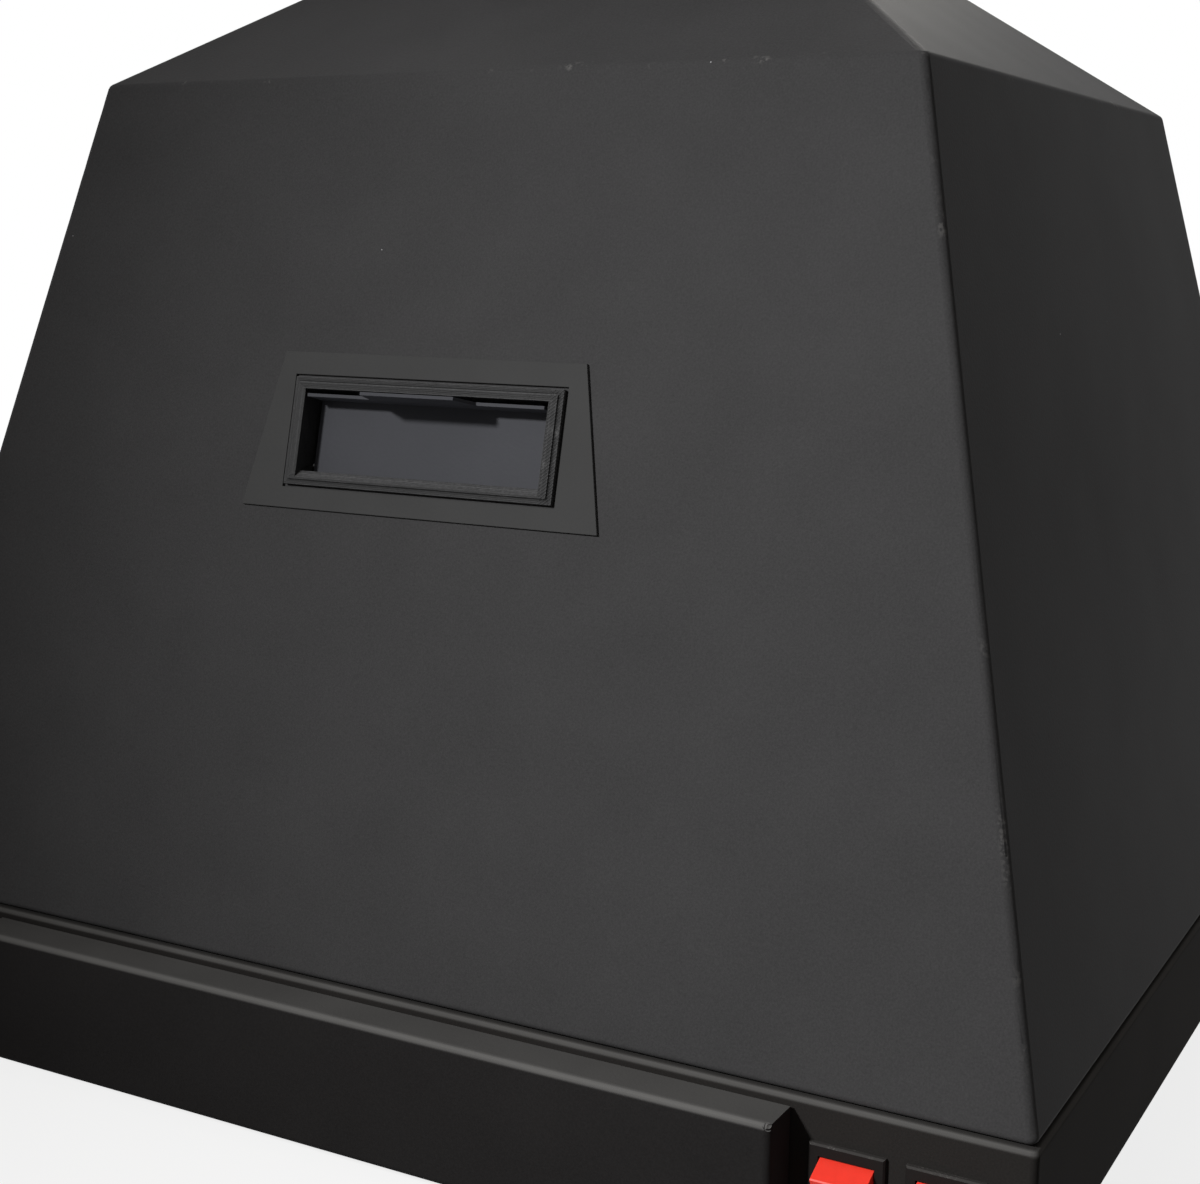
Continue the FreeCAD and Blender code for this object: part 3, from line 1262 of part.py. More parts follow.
def inlet_pins():
    pins = []
    for x, z in ((-7, 2), (0, 6), (7, 2)):
        pin = inlet_block(1, BASE_BACK - MOUTH_DEPTH, BASE_BACK, z - 2, z + 2)
        pins.append(pin.translated(Vector(x, 0, 0)))
    return Part.makeCompound(pins)


def fuse_drawer():
    low = FUSE_LOW + SLIP
    high = FUSE_HIGH - SLIP
    back = BASE_BACK - FUSE_DEPTH + 0.5
    block = inlet_block(FUSE_WIDTH / 2 - SLIP, back, BASE_BACK + INLET_FLANGE + 0.6, low, high)
    well = inlet_block(FUSE_WIDTH / 2 - 3, back + 2.5, BASE_BACK - 4, low + FUSE_WALL, high + 1)
    grip = inlet_block(5, BASE_BACK + 1, BASE_BACK + 5, low - 1, low + 1.5)
    return block.cut(well).cut(grip)


def port_block(grow, y0, y1):
    """Box about the port's middle, larger than its body by grow on each side."""
    wide = PORT_WIDTH / 2 + grow
    tall = PORT_HEIGHT / 2 + grow
    return box(PORT_X - wide, PORT_X + wide, y0, y1, REAR_Z - tall, REAR_Z + tall)


def data_socket():
    flange = port_block(PORT_RIM, BASE_BACK, BASE_BACK + PORT_FLANGE)
    body = port_block(0, BASE_BACK - PORT_DEPTH, BASE_BACK)
    mouth = port_block(-1.7, BASE_BACK - 10, BASE_BACK + 5)
    tongue = port_block(-3.5, BASE_BACK - 10, BASE_BACK - 1)
    return fuse([fuse([flange, body]).cut(mouth), tongue])


def fan_screw_spots():
    reach = FAN_SIDE / 2 - FAN_SCREW_INSET
    return [(FAN_X + sx * reach, REAR_Z + sz * reach) for sx in (-1, 1) for sz in (-1, 1)]


def fan_frame():
    half = FAN_SIDE / 2
    inside = BASE_BACK - SHEET
    front = inside - FAN_DEPTH
    frame = box(FAN_X - half, FAN_X + half, front, inside, REAR_Z - half, REAR_Z + half)
    corners = [e for e in frame.Edges if e.BoundBox.YLength > FAN_DEPTH - 0.01]
    frame = frame.makeFillet(3, corners)
    frame = frame.cut(drill_back([(FAN_X, REAR_Z)], half - FAN_WALL, front - 1, inside + 1))
    motor = [rod(HUB_RADIUS, Vector(FAN_X, front, REAR_Z), Vector(FAN_X, front + MOTOR_PLATE, REAR_Z))]
    for turn in range(4):
        strut = box(HUB_RADIUS - 1, half - FAN_WALL / 2, 0, 2, -1.2, 1.2)
        strut.rotate(Vector(0, 0, 0), Vector(0, 1, 0), 45 + 90 * turn)
        motor.append(strut.translated(Vector(FAN_X, front, REAR_Z)))
    return fuse([frame] + motor).cut(drill_back(fan_screw_spots(), M3 + SEAT, front - 1, inside + 1))


def hub_ends():
    """Depths of the fan hub's outer and inner end."""
    outer = BASE_BACK - SHEET - HUB_SINK
    return outer, outer - HUB_DEPTH


def fan_blade(turn):
    """One twisted blade, ruled from the hub's chord to the tip's."""
    tip = FAN_SIDE / 2 - FAN_WALL - BLADE_GAP
    chords = []
    for radius, (half_chord, angle) in ((HUB_RADIUS - 1.5, BLADE_ROOT), (tip, BLADE_TIP)):
        along = Vector(0, math.sin(angle), math.cos(angle)) * half_chord
        thick = Vector(0, math.cos(angle), -math.sin(angle)) * (BLADE_THICK / 2)
        middle = Vector(radius, 0, 0)
        low = middle - thick
        high = middle + thick
        chords.append(Part.makePolygon([low - along, low + along, high + along, high - along, low - along]))
    blade = Part.makeLoft(chords, True, True)
    blade.rotate(Vector(0, 0, 0), Vector(0, 1, 0), turn)
    return blade.translated(Vector(FAN_X, sum(hub_ends()) / 2, REAR_Z))


def fan_rotor():
    outer, inner = hub_ends()
    hub = rod(HUB_RADIUS, Vector(FAN_X, inner, REAR_Z), Vector(FAN_X, outer, REAR_Z))
    hub = hub.makeChamfer(1, [e for e in hub.Edges if abs(e.BoundBox.YMin - outer) < 0.01])
    return fuse([hub] + [fan_blade(step * 360 / FAN_BLADES) for step in range(FAN_BLADES)])


def fan_guard():
    """Guard over the fan's outlet: rings on four spokes."""
    near = Vector(FAN_X, BASE_BACK, REAR_Z)
    far = near + Vector(0, GUARD_WIRE, 0)
    largest = FAN_SIDE / 2 - FAN_WALL - GUARD_WIRE / 2
    pieces = []
    for step in range(GUARD_RINGS):
        radius = largest * (step + 1) / GUARD_RINGS
        pieces.append(rod(radius + GUARD_WIRE / 2, near, far).cut(rod(radius - GUARD_WIRE / 2, near, far)))
    for x, z in fan_screw_spots():
        reach = math.hypot(x - FAN_X, z - REAR_Z)
        spoke = box(0, reach, 0, GUARD_WIRE, -GUARD_WIRE / 2, GUARD_WIRE / 2)
        spoke.rotate(Vector(0, 0, 0), Vector(0, 1, 0), math.degrees(math.atan2(REAR_Z - z, x - FAN_X)))
        pieces.append(spoke.translated(near))
        pieces.append(rod(2 * M3 + SLIP, Vector(x, BASE_BACK, z), Vector(x, BASE_BACK + GUARD_WIRE, z)))
    return fuse(pieces).cut(drill_back(fan_screw_spots(), M3 + SEAT, BASE_BACK - 1, BASE_BACK + 5))


def rear_screws():
    way = Vector(0, -1, 0)
    over_guard = BASE_BACK + GUARD_WIRE
    over_flange = BASE_BACK + INLET_FLANGE
    screws = [pan_screw(M3, FAN_SCREW, Vector(x, over_guard, z), way) for x, z in fan_screw_spots()]
    screws += [pan_screw(M3, INLET_SCREW, Vector(x, over_flange, z), way) for x, z in inlet_screw_spots()]
    return Part.makeCompound(screws)


def sub_parts():
    skin = folded_hood()
    rings = ring_spans()
    first, second = rocker_xs()
    return {
        "base_shell": base_shell(),
        "bottom_plate": bottom_plate(),
        "rubber_feet": rubber_feet(),
        "underside_screws": underside_screws(),
        "hood_gasket": hood_gasket(),
        "hood_shell": hood_shell(skin),
        "hood_screws": hood_screws(),
        "roof_shell": roof_shell(skin),
        "window_surround": window_surround(),
        "window_frame": window_frame(),
        "window_pane": window_pane(),
        "pane_retainer": pane_retainer(),
        "flap_pins": flap_pins(),
        "window_flap": window_flap(),
        "rocker_case_left": rocker_case(first),
        "rocker_case_right": rocker_case(second),
        "rocker_left": rocker(first),
        "rocker_right": rocker(second),
        "switch_terminals": switch_terminals(),
        "drawer_front": drawer_front(),
        "drawer_seal": drawer_seal(),
        "drawer_tray": drawer_tray(),
        "drawer_nuts": drawer_nuts(),
        "sample_stage": sample_stage(),
        "stage_posts": stage_posts(),
        "slide_outers": slide_outers(),
        "slide_middles": slide_middles(),
        "slide_inners": slide_inners(),
        "slide_brackets": slide_brackets(),
        "power_supply": power_supply(),
        "lamp_ballasts": lamp_ballasts(),
        "control_board": control_board(),
        "board_pillars": board_pillars(),
        "lamp_troughs": lamp_troughs(),
        "lamp_reflectors": lamp_reflectors(),
        "short_wave_tubes": tube(0),
        "long_wave_tubes": tube(1),
        "tube_sockets": tube_sockets(),
        "led_bars": led_bars(),
        "camera_housing": camera_housing(),
        "housing_lid": housing_lid(),
        "camera_plate": camera_plate(),
        "turret_screws": turret_screws(),
        "camera_body": camera_body(),
        "camera_bracket": camera_bracket(),
        "lens_barrel": lens_barrel(),
        "lens_glass": lens_glass(),
        "focus_ring": lens_ring(rings[0], RING_WALL),
        "zoom_ring": lens_ring(rings[1], RING_WALL - 0.5),
        "iris_ring": lens_ring(rings[2], RING_WALL - 1),
        "filter_ring": filter_ring(),
        "filter_glass": filter_glass(),
        "inlet_socket": inlet_socket(),
        "inlet_pins": inlet_pins(),
        "fuse_drawer": fuse_drawer(),
        "data_socket": data_socket(),
        "fan_frame": fan_frame(),
        "fan_rotor": fan_rotor(),
        "fan_guard": fan_guard(),
        "rear_screws": rear_screws(),
    }


os.makedirs("parts", exist_ok=True)
for name, shape in sub_parts().items():
    shape.translated(Vector(0, Y_SHIFT, 0)).exportStep("parts/" + name + ".step")
    print(name, "solids", len(shape.Solids), "valid", shape.isValid(), "volume", round(shape.Volume))
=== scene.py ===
# %% [markdown]
# # A thin-layer chromatography imager
# The machine is a dark cabinet: a folded steel hood on a flat base, with a sample drawer, a
# small shuttered window, two red switches and a camera turret above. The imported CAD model
# gives every size and place. This lesson adds what CAD leaves out: finishes, small fasteners,
# printed and moulded detail, the camera and the light.

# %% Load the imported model
import json
import math

import bmesh
import bpy
from mathutils import Matrix, Vector


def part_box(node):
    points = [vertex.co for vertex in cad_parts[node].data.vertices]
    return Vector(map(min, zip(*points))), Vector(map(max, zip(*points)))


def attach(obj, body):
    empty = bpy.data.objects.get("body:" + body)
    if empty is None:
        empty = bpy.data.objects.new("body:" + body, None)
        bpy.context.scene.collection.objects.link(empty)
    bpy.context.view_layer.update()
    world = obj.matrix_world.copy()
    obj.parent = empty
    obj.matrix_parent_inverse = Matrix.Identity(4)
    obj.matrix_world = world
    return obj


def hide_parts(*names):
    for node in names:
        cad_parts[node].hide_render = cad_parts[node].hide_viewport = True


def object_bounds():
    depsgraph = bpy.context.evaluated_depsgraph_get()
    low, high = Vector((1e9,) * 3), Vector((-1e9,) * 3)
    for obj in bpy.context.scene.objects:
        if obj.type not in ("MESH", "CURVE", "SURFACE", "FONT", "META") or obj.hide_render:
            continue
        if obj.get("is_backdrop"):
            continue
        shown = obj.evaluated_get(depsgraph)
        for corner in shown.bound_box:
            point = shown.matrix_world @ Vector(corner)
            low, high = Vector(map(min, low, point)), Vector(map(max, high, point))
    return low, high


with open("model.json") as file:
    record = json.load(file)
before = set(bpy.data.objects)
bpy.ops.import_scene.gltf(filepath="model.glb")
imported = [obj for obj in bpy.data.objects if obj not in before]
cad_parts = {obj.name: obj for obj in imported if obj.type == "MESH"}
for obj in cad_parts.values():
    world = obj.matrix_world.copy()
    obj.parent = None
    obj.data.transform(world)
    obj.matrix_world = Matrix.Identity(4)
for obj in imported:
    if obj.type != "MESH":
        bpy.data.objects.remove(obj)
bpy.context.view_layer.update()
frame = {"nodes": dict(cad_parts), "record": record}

# %% [markdown]
# ## The camera
# The place of the camera was solved from edges of the cabinet in the photograph, so the
# picture plane, and not taste, decides it. Blender looks along its own -Z, so the matrix takes
# the right, up and backward directions as its columns.

# %% Camera
LENS_MM = 57.26
SENSOR_MM = 36.0
EYE = Vector((0.3885, -0.7595, 0.3243))
LOOK = Vector((-0.47328, 0.86285, -0.17748)).normalized()
RIGHT = Vector((0.87589, 0.48241, 0.00963))


def aim(spot, look, right):
    """Matrix of something that stands at a spot and looks along its own -Z."""
    right = (right - look * right.dot(look)).normalized()
    up = right.cross(look)
    turn = Matrix((right, up, -look)).transposed().to_4x4()
    return Matrix.Translation(spot) @ turn


camera = bpy.data.objects.new("camera", bpy.data.cameras.new("camera"))
camera.data.lens = LENS_MM
camera.data.sensor_width = SENSOR_MM
camera.data.clip_start = 0.05
camera.data.clip_end = 60.0
camera.matrix_world = aim(EYE, LOOK, RIGHT)
bpy.context.scene.collection.objects.link(camera)
bpy.context.scene.camera = camera
print("camera at", tuple(round(v, 3) for v in EYE))

# %% [markdown]
# ## Sums in shader nodes
# A finish is mostly arithmetic: a mask times a colour, one minus a noise. Written as Python
# sums it reads like the idea, so a small class wraps a socket and lets each operator add its
# Math node. The reflected forms are for a plain number on the left, as in 1 - mask.

# %% Sums
class Term:
    """A shader value that can stand in sums, such as 1 - mask * 0.5."""

    def __init__(self, finish, socket):
        self.finish = finish
        self.socket = socket

    def __add__(self, other):
        return self.finish.maths("ADD", self, other)

    def __radd__(self, other):
        return self.finish.maths("ADD", other, self)

    def __sub__(self, other):
        return self.finish.maths("SUBTRACT", self, other)

    def __rsub__(self, other):
        return self.finish.maths("SUBTRACT", other, self)

    def __mul__(self, other):
        return self.finish.maths("MULTIPLY", self, other)

    def __rmul__(self, other):
        return self.finish.maths("MULTIPLY", other, self)

    def __abs__(self):
        return self.finish.maths("ABSOLUTE", self)

    def __gt__(self, other):
        return self.finish.maths("GREATER_THAN", self, other)

    def __lt__(self, other):
        return self.finish.maths("LESS_THAN", self, other)


print("sums ready")

# %% [markdown]
# ## A finish in the making
# Everything that is not a sum comes from one method, which adds a node by its kind: first the
# settings, then the sockets. The other methods give names to what finishes share, such as
# noise of a size in metres, a soft step, dust specks, a blend of two colours and a relief.

# %% Finishes
X, Y, Z = 0, 1, 2


class Finish:
    """The nodes of a new material with its Principled shader, or those of a world."""

    def __init__(self, name, world=None):
        self.material = world or bpy.data.materials.new(name)
        self.material.use_nodes = True
        self.tree = self.material.node_tree
        self.shader = self.tree.nodes.get("Principled BSDF")
        self.coordinates = None

    def node(self, kind, settings=None, values=None, output=0):
        """Adds a node: its settings first, then its sockets. Gives one output as a Term."""
        made = self.tree.nodes.new("ShaderNode" + kind)
        for key, setting in (settings or {}).items():
            setattr(made, key, setting)
        for key, value in (values or {}).items():
            self.feed(made.inputs[key], value)
        return Term(self, made.outputs[output])

    def feed(self, socket, value):
        """Links a Term, or sets a number, a vector or a colour of three parts."""
        if isinstance(value, Term):
            self.tree.links.new(value.socket, socket)
        elif socket.type == "RGBA":
            socket.default_value = (*value, 1.0)
        else:
            socket.default_value = value

    def set(self, **sockets):
        """Feeds the Principled shader. Underscores stand for spaces."""
        for key, value in sockets.items():
            self.feed(self.shader.inputs[key.replace("_", " ")], value)

    def maths(self, operation, *terms):
        return self.node("Math", {"operation": operation}, dict(enumerate(terms)))

    def place(self):
        """Position in metres, in the frame of the CAD model at rest."""
        if self.coordinates is None:
            self.coordinates = self.node("TexCoord", output=3)
        return self.coordinates

    def axis(self, number):
        """One coordinate of the position: X, Y or Z."""
        return self.node("SeparateXYZ", values={0: self.place()}, output=number)

    def upward(self):
        """How far the surface faces up, from -1 to 1."""
        normal = self.node("NewGeometry", output=1)
        return self.node("SeparateXYZ", values={0: normal}, output=Z)

    def noise(self, size, detail, vector=None):
        """Cloudy values about 0.5, with features of a size in metres."""
        values = {"Vector": vector or self.place(), "Scale": 1 / size, "Detail": detail}
        return self.node("TexNoise", values=values)

    def stretched(self, scales):
        """The position with each axis scaled, for grain that runs one way."""
        return self.node("VectorMath", {"operation": "MULTIPLY"}, {0: self.place(), 1: scales})

    def ramp(self, value, low, high):
        """0 below low and 1 above high, smooth between. Low may be the higher of the two."""
        settings = {"interpolation_type": "SMOOTHSTEP"}
        return self.node("MapRange", settings, {"Value": value, "From Min": low, "From Max": high})

    def specks(self, spacing, radius, share):
        """Round dots on some of the cells of a cell pattern."""
        cells = {"Vector": self.place(), "Scale": 1 / spacing}
        near = self.node("TexVoronoi", values=cells)
        pick = self.node("TexVoronoi", values=cells, output=1)
        chance = self.node("SeparateXYZ", values={0: pick})
        dot = self.ramp(near, radius / spacing, radius / spacing * 0.4)
        return dot * (chance > 1 - share)

    def mix(self, factor, first, second):
        """A colour between two, by a factor."""
        colours = {0: factor, 6: first, 7: second}
        return self.node("Mix", {"data_type": "RGBA"}, colours, output=2)

    def shaded(self, colour, tone):
        """A colour made lighter or darker by a number."""
        return self.node("VectorMath", {"operation": "SCALE"}, {0: colour, "Scale": tone})

    def relief(self, height, depth, below=None):
        """Bumps of a height from 0 to 1 times a depth in metres."""
        values = {"Height": height, "Distance": depth, "Strength": 1.0}
        if below is not None:
            values["Normal"] = below
        return self.node("Bump", values=values)


finishes = {}


def make_finishes(maker, looks_by_name):
    """Makes a finish for each row of a table and keeps it under the row's name."""
    for name, looks in looks_by_name.items():
        finishes[name] = maker(name, **looks)
    print(maker.__name__.replace("_", " ") + ":", ", ".join(looks_by_name))


print("finishes can be made")

# %% [markdown]
# ## The leaning front
# Several finishes follow the front of the hood, which leans back. Its foot, its lean and the
# window's place on it are written here once. One helper measures the distance up the face.

# %% The leaning front face
FACE_FOOT = Vector((0.0, -0.232575, 0.0618))
CORNER_X = 0.2495
CREASE = 0.3871
HOOD_RISE_MM, FRONT_RETREAT_MM, SIDE_RETREAT_MM = 325.3, 77.5, 75.0
FACE_LEAN = math.atan2(FRONT_RETREAT_MM, HOOD_RISE_MM)
WINDOW_FOOT = 0.1834
WINDOW_HALF = 0.0525
WINDOW_HEIGHT = 0.0316
BORDER_SIDE = 0.0055
BORDER_END = 0.0045


def face_height(finish):
    """Distance up the leaning face, as a shader value."""
    foot = FACE_FOOT.y * math.sin(FACE_LEAN) + FACE_FOOT.z * math.cos(FACE_LEAN)
    back = finish.axis(Y) * math.sin(FACE_LEAN)
    return back + finish.axis(Z) * math.cos(FACE_LEAN) - foot


print("the front leans back", round(math.degrees(FACE_LEAN), 1), "degrees")

# %% [markdown]
# ## Powder coat
# Powder coat is paint that was melted on: dead matt, with a fine pebbled skin and tiny
# differences of tone. The pebbles are a bump with a grain of about a millimetre, small enough
# to read as a surface and not as a pattern. A second, very wide bump is the slight buckle of
# folded sheet. Where the surface faces up, a pale film is painted in: dust with a painted
# sheen on level faces, and a painted highlight on rounded folds.

# %% Powder coat
RUBBED = (0.17, 0.165, 0.16)
# Colour of the pale film: real dust together with painted sheen and painted fold highlights.
DUST_AND_SHEEN_FILM = (0.12, 0.118, 0.115)
DUST_SPECK = (0.42, 0.42, 0.43)
PEBBLE, PEBBLE_DEPTH = 0.0011, 0.00006
BUCKLE, BUCKLE_DEPTH = 0.09, 0.0009
SPECK_SPACING, SPECK_RADIUS = 0.014, 0.0004


def powder_coat(name, colour, roughness, gloss, dust=0.0, rubs=(), level_dust_and_sheen=0.0, fold_highlight=0.0):
    """Dust is a share of specks. level_dust_and_sheen is a pale film of dust and painted
    sheen on level metal; fold_highlight is a painted highlight on rounded folds.
    """
    coat = Finish(name)
    cloud = coat.noise(0.035, 2)
    grain = coat.noise(0.0007, 2)
    paint = coat.shaded(colour, 1 + (cloud - 0.5) * 0.22 + (grain - 0.5) * 0.5)
    for rub in rubs:
        paint = coat.mix(rub(coat), paint, RUBBED)
    # Painted light: the pale film mixes dust with a painted sheen on level faces and a painted
    # highlight on rounded folds.
    if level_dust_and_sheen or fold_highlight:
        upward = coat.upward()
        rounded = coat.ramp(upward, 0.1, 0.5) * coat.ramp(upward, 0.98, 0.75)
        film = coat.ramp(upward, 0.5, 0.95) * level_dust_and_sheen + rounded * fold_highlight
        paint = coat.mix(film * (0.8 + cloud * 0.4), paint, DUST_AND_SHEEN_FILM)
    if dust:
        paint = coat.mix(coat.specks(SPECK_SPACING, SPECK_RADIUS, dust), paint, DUST_SPECK)
    skin = coat.relief(coat.noise(PEBBLE, 3), PEBBLE_DEPTH)
    skin = coat.relief(coat.noise(BUCKLE, 1), BUCKLE_DEPTH, skin)
    coat.set(Base_Color=paint, Roughness=roughness + (grain - 0.5) * 0.12, Normal=skin)
    coat.set(Specular_IOR_Level=gloss)
    return coat.material


print("powder coat can be made")

# %% [markdown]
# ## Rubs from handling
# Hands leave pale rubs along the folds that they meet. Each rub is a mask that is high only
# near its fold, broken up by a wide noise into patches and by a fine one into scratches.

# %% Rubs and the coated parts
CREASE_REACH = 0.0025
CORNER_REACH = 0.003


def broken(coat, near, patch, share, strength):
    """Patches of a size where a mask is high. The share is the step of noise that they need."""
    patches = coat.ramp(coat.noise(patch, 3), *share)
    scratches = coat.ramp(coat.noise(0.0016, 2), 0.45, 0.6)
    return near * patches * scratches * strength


def rub_on_crease(coat):
    """Rubs along the level fold between the hood and the roof."""
    near = coat.ramp(abs(coat.axis(Z) - CREASE), CREASE_REACH, CREASE_REACH * 0.3)
    return broken(coat, near, 0.012, (0.58, 0.72), 0.5)


def rub_at_corner(coat):
    """Rubs down the front's right-hand corner, which leans in as it rises."""
    rise = coat.axis(Z) - FACE_FOOT.z
    across = abs(coat.axis(X) + rise * (SIDE_RETREAT_MM / HOOD_RISE_MM) - CORNER_X)
    along = abs(coat.axis(Y) - rise * (FRONT_RETREAT_MM / HOOD_RISE_MM) - FACE_FOOT.y)
    near = coat.ramp(coat.maths("MAXIMUM", across, along), CORNER_REACH, CORNER_REACH / 3)
    return broken(coat, near, 0.02, (0.52, 0.7), 0.4)


make_finishes(powder_coat, {
    "hood_coat": dict(
        colour=(0.046, 0.0455, 0.0465), roughness=0.5, gloss=0.01, dust=0.05,
        rubs=(rub_on_crease, rub_at_corner)),
    # The base and drawer coats are darker than the hood's: painted shade for the upright drawer
    # front and base, which get less of the lamp.
    "base_coat": dict(
        colour=(0.022, 0.0205, 0.0195), roughness=0.6, gloss=0.004, dust=0.05,
        level_dust_and_sheen=0.2, fold_highlight=0.6),
    "drawer_coat": dict(
        colour=(0.019, 0.018, 0.018), roughness=0.6, gloss=0.008, dust=0.05,
        level_dust_and_sheen=0.65, fold_highlight=0.85),
    "inner_black": dict(colour=(0.012, 0.012, 0.012), roughness=0.85, gloss=0.15),
    "tray_steel": dict(colour=(0.022, 0.022, 0.023), roughness=0.6, gloss=0.25, dust=0.03),
    "stage_board": dict(colour=(0.016, 0.016, 0.017), roughness=0.8, gloss=0.15),
    "ballast_white": dict(colour=(0.68, 0.68, 0.66), roughness=0.4, gloss=0.4),
})

# %% [markdown]
# ## Metals
# Rolled and drawn metal has fine streaks along its length. The streaks are a noise on a
# position that is stretched: an axis with a high scale is crossed by many of them. Zinc also
# yellows in clouds, which is what the tint is for.

# %% Metals
STREAK = 0.02


def metal(name, colour, roughness, grain, tint=None):
    sheet = Finish(name)
    streaks = sheet.noise(STREAK, 3, sheet.stretched(grain))
    cloud = sheet.noise(0.03, 2)
    shine = sheet.mix(sheet.ramp(cloud, 0.4, 0.7), colour, tint) if tint else colour
    sheet.set(Base_Color=sheet.shaded(shine, 0.9 + streaks * 0.2), Metallic=1.0)
    sheet.set(Roughness=roughness + (streaks - 0.5) * 0.2 + (cloud - 0.5) * 0.1)
    sheet.set(Normal=sheet.relief(streaks, 0.00002))
    return sheet.material


make_finishes(metal, {
    "zinc_steel": dict(
        colour=(0.60, 0.61, 0.62), roughness=0.35, grain=(1.0, 30.0, 30.0),
        tint=(0.62, 0.60, 0.54)),
    "screw_black": dict(colour=(0.055, 0.055, 0.058), roughness=0.4, grain=(20.0, 20.0, 20.0)),
    "plated_brass": dict(colour=(0.72, 0.66, 0.50), roughness=0.25, grain=(20.0, 20.0, 20.0)),
    "polished_aluminium": dict(colour=(0.86, 0.87, 0.88), roughness=0.14, grain=(1.0, 60.0, 1.0)),
    "black_aluminium": dict(
        colour=(0.045, 0.045, 0.047), roughness=0.42, grain=(12.0, 12.0, 60.0)),
    "port_steel": dict(colour=(0.62, 0.62, 0.60), roughness=0.28, grain=(30.0, 1.0, 30.0)),
})

# %% [markdown]
# ## Mouldings, rubber and foam
# A mould leaves a soft pebble, rubber and foam have a coarser one. On the switches lies a thin
# film of dust with clusters of crumbs, but only on edges that face up.

# %% Mouldings, rubber and foam
CRUMBS = (0.30, 0.29, 0.28)


def moulding(name, colour, roughness, pebble=0.0008, depth=0.00003, gloss=0.4, dust=0.0):
    plastic = Finish(name)
    grain = plastic.noise(pebble, 2)
    cloud = plastic.noise(0.02, 2)
    skin = plastic.shaded(colour, 1 + (cloud - 0.5) * 0.2 + (grain - 0.5) * 0.3)
    if dust:
        crumbs = plastic.ramp(plastic.noise(0.0006, 3), 0.5, 0.68)
        clusters = plastic.ramp(plastic.noise(0.006, 2), 0.45, 0.65)
        film = 0.3 + crumbs * clusters * 0.7
        skin = plastic.mix(plastic.ramp(plastic.upward(), 0.2, 0.6) * film * dust, skin, CRUMBS)
    plastic.set(Base_Color=skin, Specular_IOR_Level=gloss)
    plastic.set(Roughness=roughness + (grain - 0.5) * 0.12, Normal=plastic.relief(grain, depth))
    return plastic.material


make_finishes(moulding, {
    "surround_black": dict(
        colour=(0.034, 0.034, 0.034), roughness=0.65, pebble=0.0012, gloss=0.12),
    "flap_grey": dict(
        colour=(0.035, 0.036, 0.042), roughness=0.6, pebble=0.0014, depth=0.00004, gloss=0.15),
    "switch_black": dict(
        colour=(0.012, 0.0105, 0.010), roughness=0.5, pebble=0.0009, depth=0.00002,
        gloss=0.06, dust=0.32),
    "rubber_black": dict(
        colour=(0.018, 0.018, 0.018), roughness=0.8, pebble=0.0016, depth=0.00008),
    "foam_black": dict(
        colour=(0.015, 0.015, 0.015), roughness=0.95, pebble=0.0007, depth=0.00020, gloss=0.1),
    "socket_white": dict(colour=(0.80, 0.80, 0.77), roughness=0.42),
    "inlet_black": dict(colour=(0.020, 0.020, 0.020), roughness=0.45),
    "fan_black": dict(colour=(0.022, 0.022, 0.022), roughness=0.5, pebble=0.0009),
})

# %% [markdown]
# ## Glass
# The pane behind the flap is amber, to hold back ultraviolet light. The lens and the filter
# carry thin coatings, which show as a tint. A faint film on each keeps it from looking empty.

# %% Glass
CLEAR = 0.92


def glass(name, colour):
    pane = Finish(name)
    film = pane.noise(0.05, 2)
    pane.set(Base_Color=pane.shaded(colour, 0.92 + film * 0.16))
    pane.set(Roughness=0.03 + pane.ramp(pane.noise(0.004, 3), 0.5, 0.8) * 0.06)
    pane.set(Transmission_Weight=CLEAR, IOR=1.5)
    return pane.material


make_finishes(glass, {
    "amber_pane": dict(colour=(0.30, 0.14, 0.03)),
    "lens_coated": dict(colour=(0.45, 0.50, 0.78)),
    "filter_coated": dict(colour=(0.85, 0.80, 0.50)),
})

# %% [markdown]
# ## The printed window frame
# The frame is 3-D printed. The nozzle laid thin beads round the opening, so their wave counts
# the distance in from the outline. Straight slanting strokes fill the right-hand border. Thin
# painted highlights lie where ridge and ledge would catch the light, a painted shade line
# darkens the crevice at the ridge's foot, and the sill, which faces up, gets the brightest
# painted light.

# %% Printed plastic
BEAD_SPACING = 0.0006
STROKE_SPACING = 0.0013
STROKE_SLANT = 0.8
PAINTED_EDGE_HIGHLIGHTS = ((0.0001, 0.0003, 1.0), (0.0021, 0.0003, 1.0), (0.0042, 0.0004, 0.6))
PAINTED_CREVICE_SHADE = 0.0016


def inward(finish):
    """Distance in from the printed frame's outer outline, on its face."""
    across = WINDOW_HALF + BORDER_SIDE - abs(finish.axis(X))
    middle = WINDOW_FOOT + WINDOW_HEIGHT / 2
    along = WINDOW_HEIGHT / 2 + BORDER_END - abs(face_height(finish) - middle)
    return finish.maths("MINIMUM", across, along)


def waves(finish, distance, spacing):
    return finish.maths("SINE", distance * (2 * math.pi / spacing))


